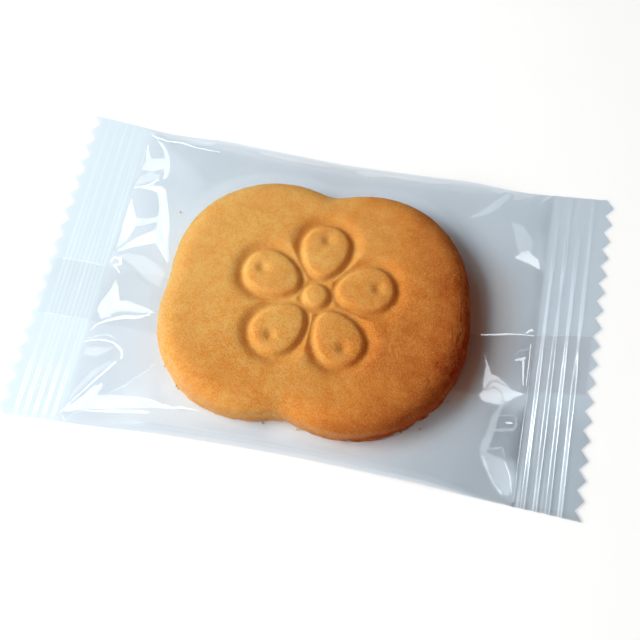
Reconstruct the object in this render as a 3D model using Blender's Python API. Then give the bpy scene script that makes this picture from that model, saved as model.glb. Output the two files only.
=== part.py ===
"""A vanilla cookie with four soft lobes, sealed in its clear pillow pack.

Frame: metres, +Z up, +X along the pack. The origin is on the floor, at the middle of the pack.
The cookie is a baked disc with a pressed blossom. The wrapper is the body of the pack round it:
a tent of film that falls from the cookie's rim to two crimped seals with zigzag ends.
"""

import math

import bmesh
import bpy

MM = 0.001

# The cookie: four round lobes about its middle, each (x, y, radius).
COOKIE_MIDDLE = (0.2 * MM, -1.9 * MM)
LOBES = (
    (7.4 * MM, 4.3 * MM, 15.9 * MM),
    (-7.8 * MM, 3.8 * MM, 16.0 * MM),
    (-9.1 * MM, -5.2 * MM, 14.9 * MM),
    (6.2 * MM, -2.1 * MM, 18.0 * MM),
)
LOBE_BLEND = 0.9 * MM
COOKIE_HEIGHT = 8.0 * MM
DOME_RISE = 0.5 * MM
WALL_TOP = 2.6 * MM
SHOULDER_WIDTH = 5.0 * MM
SHOULDER_POWER = 2.3
FOOT_HEIGHT = 0.9 * MM
FOOT_INSET = 0.4 * MM
CROWN_CELLS = 46
CROWN_INSET = 1.0 * MM
SHOULDER_RINGS = 3

# The pressed blossom: raised petals round a heart, each with a soft groove about it.
PETALS = 5
PETAL_DISTANCE = 7.7 * MM
PETAL_LENGTH = 9.0 * MM
PETAL_WIDTH = 7.2 * MM
PETAL_SWELL = 0.18
HEART_RADIUS = 1.9 * MM
GROOVE_WIDTH = 2.5 * MM
GROOVE_DEPTH = 1.0 * MM
GROOVE_LEAN = 0.8
PILLOW_RISE = 0.25 * MM
PILLOW_SPREAD = 1.0 * MM
PIT_DISTANCE = 9.6 * MM
PIT_RADIUS = 1.0 * MM
PIT_DEPTH = 0.6 * MM

# The pack: its length between tooth tips, and the places of its long edges.
PACK_LENGTH = 90.5 * MM
EDGE_MIDDLE = {"far": 24.9 * MM, "near": -26.0 * MM}
EDGE_CORNER = {
    ("far", "left"): 27.4 * MM,
    ("far", "right"): 27.9 * MM,
    ("near", "left"): -27.9 * MM,
    ("near", "right"): -27.1 * MM,
}
EDGE_POWER = 1.5
TOOTH_ROWS = 35
TOOTH_DEPTH = 1.25 * MM
SEAL_THICKNESS = 0.6 * MM
RIDGES = 4
RIDGE_START = 2.9 * MM
RIDGE_PITCH = 1.86 * MM
RIDGE_RISE = 0.3 * MM
TENT_COLUMNS = 16
TENT_RIM = 6.3 * MM
TENT_POWER = 1.2
SIDE_RISE = 1.4 * MM
COOKIE_GAP = 0.3 * MM
ROOM_SIDES = 96
ROOM_BELOW = 1.0 * MM
ROOM_ABOVE = 12.0 * MM

SHARP_ANGLE = math.radians(40)


def clear_scene():
    """Remove every object, so that the model stands alone."""
    for leftover in list(bpy.data.objects):
        bpy.data.objects.remove(leftover, do_unlink=True)


def new_collection(name):
    """Return a new collection in the scene."""
    collection = bpy.data.collections.new(name)
    bpy.context.scene.collection.children.link(collection)
    return collection


def new_material(name, colour, roughness, alpha=1.0):
    """Return a Principled material with one colour."""
    material = bpy.data.materials.new(name)
    material.use_nodes = True
    shader = material.node_tree.nodes["Principled BSDF"]
    shader.inputs["Base Color"].default_value = (*colour, 1.0)
    shader.inputs["Roughness"].default_value = roughness
    shader.inputs["Metallic"].default_value = 0.0
    shader.inputs["Alpha"].default_value = alpha
    return material


def finish_object(name, shape, collection, material):
    """Turn a bmesh into a named object with a material."""
    bmesh.ops.recalc_face_normals(shape, faces=shape.faces)
    mesh = bpy.data.meshes.new(name)
    shape.to_mesh(mesh)
    shape.free()
    mesh.shade_smooth()
    mesh.set_sharp_from_angle(angle=SHARP_ANGLE)
    piece = bpy.data.objects.new(name, mesh)
    collection.objects.link(piece)
    if material is not None:
        mesh.materials.append(material)
    return piece


# ---------------------------------------------------------------- the cookie

def cookie_reach(angle):
    """Return how far the cookie reaches from its middle: a smooth maximum over its lobes."""
    reaches = []
    for x, y, radius in LOBES:
        along = math.cos(angle) * x + math.sin(angle) * y
        reaches.append(along + math.sqrt(along ** 2 - (x ** 2 + y ** 2 - radius ** 2)))
    longest = max(reaches)
    total = sum(math.exp((reach - longest) / LOBE_BLEND) for reach in reaches)
    return longest + LOBE_BLEND * math.log(total)


def field_distance(x, y):
    """Return the distance from a place to the nearest raised field, negative inside it."""
    nearest = math.hypot(x, y) - HEART_RADIUS
    for petal in range(PETALS):
        turn = math.pi / 2 + math.tau * petal / PETALS
        along = x * math.cos(turn) + y * math.sin(turn) - PETAL_DISTANCE
        across = -x * math.sin(turn) + y * math.cos(turn)
        half_length = PETAL_LENGTH / 2
        half_width = PETAL_WIDTH / 2 * (1 + PETAL_SWELL * along / half_length)
        half_width = max(half_width, PETAL_WIDTH / 4)
        ratio = math.hypot(along / half_length, across / half_width)
        if ratio < 1e-6:
            return -PETAL_WIDTH / 2
        nearest = min(nearest, math.hypot(along, across) * (1 - 1 / ratio))
    return nearest


def pit_depth(x, y):
    """Return how deep the small pit in each petal is at a place."""
    depth = 0.0
    for petal in range(PETALS):
        turn = math.pi / 2 + math.tau * petal / PETALS
        gap = math.hypot(x - PIT_DISTANCE * math.cos(turn), y - PIT_DISTANCE * math.sin(turn))
        depth += PIT_DEPTH * math.exp(-(gap / PIT_RADIUS) ** 2)
    return depth


def blossom_height(x, y):
    """Return the height of the pressed blossom over the plain crown."""
    distance = field_distance(x, y)
    if distance >= GROOVE_WIDTH:
        return 0.0
    if distance > 0:
        share = (distance / GROOVE_WIDTH) ** GROOVE_LEAN
        return -GROOVE_DEPTH * math.sin(math.pi * share) ** 2
    return PILLOW_RISE * (1 - math.exp(distance / PILLOW_SPREAD)) - pit_depth(x, y)


def crown_height(inset, x, y):
    """Return the height of the cookie's top at a distance inside its outline."""
    share = min(inset / SHOULDER_WIDTH, 1.0)
    curve = (1 - (1 - share) ** SHOULDER_POWER) ** (1 / SHOULDER_POWER)
    shoulder = COOKIE_HEIGHT - PILLOW_RISE - DOME_RISE
    span = cookie_reach(math.atan2(y, x))
    dome = DOME_RISE * (1 - (math.hypot(x, y) / span) ** 2)
    return WALL_TOP + (shoulder - WALL_TOP) * curve + dome * curve


def place_on_outline(vert, angle, inset, height):
    """Put a vertex at a distance inside the cookie's outline."""
    reach = cookie_reach(angle) - inset
    vert.co.x = COOKIE_MIDDLE[0] + reach * math.cos(angle)
    vert.co.y = COOKIE_MIDDLE[1] + reach * math.sin(angle)
    vert.co.z = height


def extrude_ring(shape, edges):
    """Extrude a closed ring of edges and return its new vertices and edges."""
    grown = bmesh.ops.extrude_edge_only(shape, edges=edges)["geom"]
    verts = [item for item in grown if isinstance(item, bmesh.types.BMVert)]
    ring = set(verts)
    new_edges = [item for item in grown if isinstance(item, bmesh.types.BMEdge)]
    return verts, [edge for edge in new_edges if ring.issuperset(edge.verts)]


def make_cookie(collection):
    """Build the cookie: a pressed crown, a round shoulder, a low wall and a flat foot."""
    shape = bmesh.new()
    bmesh.ops.create_grid(shape, x_segments=CROWN_CELLS, y_segments=CROWN_CELLS, size=1.0)
    for vert in shape.verts:
        u, v = vert.co.x, vert.co.y
        disc_x = u * math.sqrt(1 - v * v / 2)
        disc_y = v * math.sqrt(1 - u * u / 2)
        angle = math.atan2(disc_y, disc_x)
        share = min(math.hypot(disc_x, disc_y), 1.0)
        outline = cookie_reach(angle)
        reach = share * (outline - CROWN_INSET)
        x, y = reach * math.cos(angle), reach * math.sin(angle)
        height = crown_height(outline - reach, x, y) + blossom_height(x, y)
        place_on_outline(vert, angle, outline - reach, height)

    ring = [edge for edge in shape.edges if edge.is_boundary]
    steps = [CROWN_INSET * (1 - (step + 1) / SHOULDER_RINGS) ** 2 for step in range(SHOULDER_RINGS)]
    levels = [(inset, None) for inset in steps]
    levels.append((0.0, FOOT_HEIGHT))
    levels.append((FOOT_INSET, 0.0))
    for inset, fixed_height in levels:
        verts, ring = extrude_ring(shape, ring)
        for vert in verts:
            x, y = vert.co.x - COOKIE_MIDDLE[0], vert.co.y - COOKIE_MIDDLE[1]
            angle = math.atan2(y, x)
            height = crown_height(inset, x, y) if fixed_height is None else fixed_height
            place_on_outline(vert, angle, inset, height)
    bmesh.ops.contextual_create(shape, geom=ring)
    baked = new_material("baked_dough", (0.58, 0.27, 0.08), 0.75)
    return finish_object("cookie", shape, collection, baked)


# ---------------------------------------------------------------- the wrapper

def edge_place(side, x):
    """Return the Y of a long edge of the pack, which bows in between the seals."""
    end = "right" if x > 0 else "left"
    middle = EDGE_MIDDLE[side]
    share = min(abs(x) / (PACK_LENGTH / 2), 1.0) ** EDGE_POWER
    return middle + (EDGE_CORNER[side, end] - middle) * share


def seal_stations():
    """Return the distances from the tooth tips where the crimp changes, and their heights."""
    stations = [(0.0, SEAL_THICKNESS), (TOOTH_DEPTH + 0.3 * MM, SEAL_THICKNESS)]
    for half in range(2 * RIDGES + 1):
        rise = RIDGE_RISE if half % 2 else 0.0
        stations.append((RIDGE_START + half * RIDGE_PITCH / 2, SEAL_THICKNESS + rise))
    return stations


def tent_height(x, y, seal_inner):
    """Return the height of the film between the cookie's rim and the pack's edges."""
    across, up = x - COOKIE_MIDDLE[0], y - COOKIE_MIDDLE[1]
    angle = math.atan2(up, across)
    side = "far" if up > 0 else "near"
    to_edge = abs(edge_place(side, x) - COOKIE_MIDDLE[1]) / max(abs(math.sin(angle)), 1e-6)
    end = math.copysign(seal_inner, across) - COOKIE_MIDDLE[0]
    to_seal = abs(end) / max(abs(math.cos(angle)), 1e-6)
    inner, outer = cookie_reach(angle), min(to_edge, to_seal)
    share = (math.hypot(across, up) - inner) / (outer - inner)
    share = min(max(share, 0.0), 1.0)
    low = SEAL_THICKNESS + SIDE_RISE * (1 - (x / seal_inner) ** 2)
    return low + (TENT_RIM - low) * (1 - share) ** TENT_POWER


def make_cookie_room(collection):
    """Build the cutter for the space that the cookie fills, a little wider than the cookie."""
    shape = bmesh.new()
    bmesh.ops.create_circle(shape, cap_ends=True, segments=ROOM_SIDES, radius=1.0)
    for vert in shape.verts:
        place_on_outline(vert, math.atan2(vert.co.y, vert.co.x), -COOKIE_GAP, -ROOM_BELOW)
    grown = bmesh.ops.extrude_face_region(shape, geom=shape.faces[:])["geom"]
    for item in grown:
        if isinstance(item, bmesh.types.BMVert):
            item.co.z = ROOM_ABOVE
    room = finish_object("cookie_room", shape, collection, None)
    room.hide_render = True
    room.display_type = "WIRE"
    return room


def make_wrapper(collection, cutters):
    """Build the pack: tent, seals, ridges and teeth as one body with room for the cookie."""
    seal = seal_stations()
    seal_inner = PACK_LENGTH / 2 - seal[-1][0]
    columns = [(-PACK_LENGTH / 2 + inset, height) for inset, height in seal]
    for column in range(1, TENT_COLUMNS):
        columns.append((seal_inner * (2 * column / TENT_COLUMNS - 1), None))
    columns += [(PACK_LENGTH / 2 - inset, height) for inset, height in reversed(seal)]

    shape = bmesh.new()
    last = len(columns) - 1
    bmesh.ops.create_grid(shape, x_segments=last, y_segments=TOOTH_ROWS, size=0.5)
    for vert in shape.verts:
        column = round((vert.co.x + 0.5) * last)
        row = round((vert.co.y + 0.5) * TOOTH_ROWS)
        x, height = columns[column]
        near, far = edge_place("near", x), edge_place("far", x)
        y = near + (far - near) * row / TOOTH_ROWS
        if (column, row % 2) in ((0, 0), (last, 1)):
            x -= math.copysign(TOOTH_DEPTH, x)
        if height is None:
            height = tent_height(x, y, seal_inner)
        vert.co = (x, y, height)
    rim = [edge for edge in shape.edges if edge.is_boundary]
    verts, ring = extrude_ring(shape, rim)
    for vert in verts:
        vert.co.z = 0.0
    bmesh.ops.contextual_create(shape, geom=ring)

    film = new_material("clear_film", (0.61, 0.66, 0.73), 0.1, alpha=0.35)
    wrapper = finish_object("wrapper", shape, collection, film)
    cut = wrapper.modifiers.new("room for the cookie", "BOOLEAN")
    cut.operation = "DIFFERENCE"
    cut.solver = "EXACT"
    cut.object = make_cookie_room(cutters)
    return wrapper


def main():
    """Build the cookie in its pack."""
    clear_scene()
    parts = new_collection("vanilla_cookie")
    cutters = new_collection("cutters")
    make_cookie(parts)
    make_wrapper(parts, cutters)


main()
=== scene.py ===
"""A vanilla cookie in its clear pillow pack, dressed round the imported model.

The cookie is baked dough with a pressed blossom, crumbs and a rough foot. The pack is one tube
of film, sealed at both ends by crimp ridges and cut to zigzag teeth, with a back seam under it.
Lengths in the classes are in millimetres and in the row frame, and become metres in the meshes.
"""
import logging
import math
from dataclasses import dataclass, field
from enum import Enum
from typing import Callable, Sequence

import bmesh
import bpy
import numpy as np
from mathutils import Matrix, Vector


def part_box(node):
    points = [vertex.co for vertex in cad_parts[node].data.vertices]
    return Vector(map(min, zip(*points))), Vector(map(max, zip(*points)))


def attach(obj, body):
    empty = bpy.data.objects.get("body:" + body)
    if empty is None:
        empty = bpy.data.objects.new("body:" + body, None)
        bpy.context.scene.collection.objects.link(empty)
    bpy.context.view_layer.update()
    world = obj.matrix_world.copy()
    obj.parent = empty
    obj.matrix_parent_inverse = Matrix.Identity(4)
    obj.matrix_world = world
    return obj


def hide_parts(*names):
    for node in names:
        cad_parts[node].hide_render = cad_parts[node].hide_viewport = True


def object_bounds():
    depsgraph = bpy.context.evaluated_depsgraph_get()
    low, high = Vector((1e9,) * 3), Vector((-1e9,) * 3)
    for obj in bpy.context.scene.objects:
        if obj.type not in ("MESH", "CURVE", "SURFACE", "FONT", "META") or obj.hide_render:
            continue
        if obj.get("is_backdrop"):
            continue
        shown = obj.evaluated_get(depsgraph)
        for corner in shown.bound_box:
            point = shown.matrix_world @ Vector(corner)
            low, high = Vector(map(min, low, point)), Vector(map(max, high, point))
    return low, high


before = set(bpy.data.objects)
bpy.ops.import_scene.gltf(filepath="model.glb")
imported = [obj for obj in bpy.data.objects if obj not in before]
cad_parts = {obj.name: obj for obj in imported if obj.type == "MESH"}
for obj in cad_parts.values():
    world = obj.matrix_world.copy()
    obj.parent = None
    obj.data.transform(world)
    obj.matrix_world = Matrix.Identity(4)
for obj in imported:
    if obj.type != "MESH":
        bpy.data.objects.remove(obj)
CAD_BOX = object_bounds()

Array = np.ndarray
Place = tuple[float, float]
Colour = tuple[float, float, float]

MM = 0.001
BODY = "root"
LOG = logging.getLogger("cookie")


class Slot(str, Enum):
    """The record's material slots."""

    DOUGH = "baked_dough"
    FILM = "clear_film"


class Node(str, Enum):
    """The CAD nodes that the pieces stand for."""

    COOKIE = "cookie"
    WRAPPER = "wrapper"


# ---------------------------------------------------------------- shapes in numbers

def smooth_step(share: Array) -> Array:
    """Return a share from 0 to 1 eased at both ends."""
    share = np.clip(share, 0.0, 1.0)
    return share * share * (3.0 - 2.0 * share)


@dataclass(frozen=True)
class Unevenness:
    """Smooth value noise on a hashed lattice, the same on every run."""

    seed: int

    def _corner(self, i: Array, j: Array, k: Array) -> Array:
        """Return the lattice value, from -1 to 1, at whole coordinates."""
        mixed = (i * 73856093) ^ (j * 19349663) ^ (k * 83492791) ^ (self.seed * 2654435761)
        mixed = (mixed ^ (mixed >> 13)) * 1274126177 & 0x7FFFFFFF
        return ((mixed ^ (mixed >> 16)) & 0xFFFF) / 32767.5 - 1.0

    def at(self, x: Array, y: Array, z: Array | float, span: float) -> Array:
        """Return the noise at places.

        Args:
            x: The first coordinates, in millimetres.
            y: The second coordinates.
            z: The third coordinates.
            span: The distance between lattice corners.

        Returns:
            Values from -1 to 1.
        """
        places = [np.asarray(axis, float) / span for axis in np.broadcast_arrays(x, y, z)]
        cells = [np.floor(axis).astype(np.int64) for axis in places]
        parts = [smooth_step(axis - cell) for axis, cell in zip(places, cells)]
        total = np.zeros_like(places[0])
        for corner in range(8):
            steps = [(corner >> axis) & 1 for axis in range(3)]
            weight = np.ones_like(total)
            for part, step in zip(parts, steps):
                weight = weight * (part if step else 1.0 - part)
            total += weight * self._corner(*(cell + step for cell, step in zip(cells, steps)))
        return total


@dataclass(frozen=True)
class Blossom:
    """The pressed motif: raised petals round a heart, each with a soft groove about it."""

    petals: int = 5
    petal_distance: float = 7.7
    petal_length: float = 9.0
    petal_width: float = 7.2
    petal_swell: float = 0.18
    heart_radius: float = 1.9
    groove_depth: float = 1.05
    groove_floor: float = 0.6
    groove_end: float = 3.4
    edge_round: float = 0.14
    pillow_rise: float = 0.2
    pillow_spread: float = 1.0
    pit_distance: float = 9.6
    pit_radius: float = 0.85
    pit_depth: float = 0.55

    def turns(self) -> list[float]:
        """Return the heading of each petal."""
        return [math.pi / 2 + math.tau * petal / self.petals for petal in range(self.petals)]

    def distance(self, x: Array, y: Array) -> Array:
        """Return the distance to the nearest raised field, negative inside it."""
        nearest = np.hypot(x, y) - self.heart_radius
        for turn in self.turns():
            along = x * math.cos(turn) + y * math.sin(turn) - self.petal_distance
            across = -x * math.sin(turn) + y * math.cos(turn)
            half_length = self.petal_length / 2
            half_width = self.petal_width / 2 * (1 + self.petal_swell * along / half_length)
            half_width = np.maximum(half_width, self.petal_width / 4)
            ratio = np.maximum(np.hypot(along / half_length, across / half_width), 1e-3)
            nearest = np.minimum(nearest, np.hypot(along, across) * (1 - 1 / ratio))
        return nearest

    def height(self, x: Array, y: Array) -> Array:
        """Return the height of the motif over the plain crown.

        Args:
            x: Places from the cookie's middle.
            y: Places from the cookie's middle.

        Returns:
            Heights in millimetres, negative in the grooves.
        """
        distance = self.distance(x, y)
        outside = self.edge_round * np.logaddexp(0.0, distance / self.edge_round)
        share = outside / self.groove_floor
        fade = 1 - smooth_step(outside / self.groove_end)
        groove = self.groove_depth * share * np.exp(1 - share) * fade
        pillow = self.pillow_rise * (1 - np.exp(np.minimum(distance, 0.0) / self.pillow_spread))
        pits = np.zeros_like(distance)
        for turn in self.turns():
            gap = np.hypot(x - self.pit_distance * math.cos(turn),
                           y - self.pit_distance * math.sin(turn))
            pits += self.pit_depth * np.exp(-((gap / self.pit_radius) ** 2))
        return pillow - groove - pits


@dataclass(frozen=True)
class CookieForm:
    """The cookie's outline and crown, close to the CAD node's.

    The lobes are rounded results of a separate program's fit to the photograph's outline. The
    last lobe is slightly larger than in the CAD node, and the wall is higher.
    """

    middle: Place = (0.2, -1.75)
    lobes: tuple[tuple[float, float, float], ...] = (
        (7.4, 4.3, 15.9), (-7.8, 3.8, 16.0), (-9.1, -5.2, 14.9), (6.25, -2.15, 18.1))
    lobe_blend: float = 0.9
    wall_top: float = 3.1
    shoulder_width: float = 4.4
    shoulder_power: float = 2.6
    dome_rise: float = 0.5
    crown_top: float = 7.55
    blossom: Blossom = Blossom()

    def reach(self, angle: Array) -> Array:
        """Return how far the outline lies from the middle: a smooth maximum over the lobes."""
        reaches = []
        for x, y, radius in self.lobes:
            along = np.cos(angle) * x + np.sin(angle) * y
            reaches.append(along + np.sqrt(along ** 2 - (x ** 2 + y ** 2 - radius ** 2)))
        longest = np.max(reaches, axis=0)
        total = sum(np.exp((reach - longest) / self.lobe_blend) for reach in reaches)
        return longest + self.lobe_blend * np.log(total)

    def polar(self, x: Array, y: Array) -> tuple[Array, Array, Array]:
        """Return the angle, the distance from the middle and the inset from the outline."""
        across, up = x - self.middle[0], y - self.middle[1]
        angle, away = np.arctan2(up, across), np.hypot(across, up)
        return angle, away, self.reach(angle) - away

    def plain_crown(self, x: Array, y: Array) -> Array:
        """Return the height of the top without its motif."""
        away, inset = self.polar(x, y)[1:]
        share = np.clip(inset / self.shoulder_width, 0.0, 1.0)
        curve = (1 - (1 - share) ** self.shoulder_power) ** (1 / self.shoulder_power)
        dome = self.dome_rise * (1 - (away / (away + inset)) ** 2)
        flat = self.crown_top - self.dome_rise
        return self.wall_top + (flat - self.wall_top + dome) * curve

    def crown(self, x: Array, y: Array) -> Array:
        """Return the height of the top with its motif."""
        motif = self.blossom.height(x - self.middle[0], y - self.middle[1])
        return self.plain_crown(x, y) + motif


@dataclass(frozen=True)
class PackForm:
    """The pack's plan: straight sealed ends, and long edges that bow in between them."""

    length: float
    seal_depth: float = 10.35
    far_middle: float = 24.9
    near_middle: float = -26.0
    far_corners: Place = (27.4, 27.9)
    near_corners: Place = (-27.9, -27.1)
    bow_power: float = 1.5
    fold_radius: float = 1.15
    fold_radius_at_seal: float = 0.04
    fold_ramp: float = 15.0

    @property
    def seal_inner(self) -> float:
        """Return the distance of the seals' inner edges from the middle."""
        return self.length / 2 - self.seal_depth

    def edge(self, x: Array, far: bool) -> Array:
        """Return the Y of a long edge."""
        middle = self.far_middle if far else self.near_middle
        left, right = self.far_corners if far else self.near_corners
        share = np.minimum(np.abs(x) / (self.length / 2), 1.0) ** self.bow_power
        return middle + (np.where(x < 0, left, right) - middle) * share

    def fold(self, x: Array) -> Array:
        """Return the radius of the fold along the long edges."""
        share = smooth_step((self.seal_inner - np.abs(x)) / self.fold_ramp)
        return self.fold_radius_at_seal + (self.fold_radius - self.fold_radius_at_seal) * share


# ---------------------------------------------------------------- the film's tent

@dataclass(frozen=True)
class Light:
    """A bright place in the studio, as seen from the pack."""

    towards: tuple[float, float, float]
    half_angle: float
    radiance: float
    halo_angle: float
    halo: float
    colour: Colour = (1.0, 1.0, 1.0)
    distance: float = 600.0

    def heading(self) -> Array:
        """Return the unit vector from the pack to the light."""
        return np.array(self.towards) / np.linalg.norm(self.towards)


# Half the width below which a crease is too narrow for the film's own mesh.
SHARP = 0.38
# The place of the photograph's camera, as a separate program solved it from the rows of teeth.
EYE = (13.736, -62.256, 148.394)
# The lights' places, sizes and strengths were set by trial against the photograph.
LEFT_WINDOW = Light(towards=(-0.71, -0.17, 0.70), half_angle=math.radians(14), radiance=11.6,
                    halo_angle=math.radians(25), halo=1.4, colour=(1.0, 0.99, 0.97), distance=380.0)
RIGHT_LAMP = Light(towards=(0.50, 0.30, 0.81), half_angle=math.radians(3.6), radiance=4.6,
                   halo_angle=math.radians(14), halo=1.4, colour=(0.95, 0.98, 1.0))
NEAR_WALL = Light(towards=(-0.50, -0.68, 0.54), half_angle=math.radians(6), radiance=0.0,
                  halo_angle=math.radians(33), halo=1.9, colour=(1.0, 0.92, 0.83))


class Glint(Enum):
    """What a crease mirrors: a light, how far beside it, and how much of the film's mirror is left."""

    WINDOW = (LEFT_WINDOW, (0.0, 0.0), 0.3)
    WINDOW_SIDE = (LEFT_WINDOW, (0.13, -0.13), 1.0)
    LAMP = (RIGHT_LAMP, (0.0, 0.0), 0.7)
    LAMP_SIDE = (RIGHT_LAMP, (-0.07, 0.03), 1.0)

    @property
    def shine(self) -> float:
        """Return how much of the film's mirror is left in such a crease."""
        return self.value[2]

    def slope(self, x: Array, y: Array) -> tuple[Array, Array]:
        """Return the slope that mirrors the light to the eye from each place."""
        light, aside, _ = self.value
        away = np.stack([EYE[0] - x, EYE[1] - y, EYE[2] + 0.0 * x])
        away = away / np.linalg.norm(away, axis=0)
        lamp = light.heading() * light.distance
        towards = np.stack([lamp[0] - x, lamp[1] - y, lamp[2] + 0.0 * x])
        between = towards / np.linalg.norm(towards, axis=0) + away
        return aside[0] - between[0] / between[2], aside[1] - between[1] / between[2]


@dataclass(frozen=True)
class Crease:
    """A leaf of creased film along a spine, whose points give X, Y and half a width."""

    glint: Glint
    spine: tuple[tuple[float, float, float], ...]
    softness: float = 0.6
    hold: float = 5.0

    @property
    def sharp(self) -> bool:
        """Tell whether the crease is a sharp pleat, too narrow for the film's own mesh."""
        return max(point[2] for point in self.spine) < SHARP

    def cover(self, x: Array, y: Array) -> Array:
        """Return how far each place belongs to the leaf, from 0 to 1."""
        best = np.full(x.shape, 9.0)
        for (x1, y1, w1), (x2, y2, w2) in zip(self.spine, self.spine[1:]):
            reach = max((x2 - x1) ** 2 + (y2 - y1) ** 2, 1e-6)
            share = np.clip(((x - x1) * (x2 - x1) + (y - y1) * (y2 - y1)) / reach, 0.0, 1.0)
            gap = np.hypot(x - x1 - (x2 - x1) * share, y - y1 - (y2 - y1) * share)
            best = np.minimum(best, gap / (w1 + (w2 - w1) * share))
        return 1 - smooth_step((best - 1.7 + self.softness) / self.softness)


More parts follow.
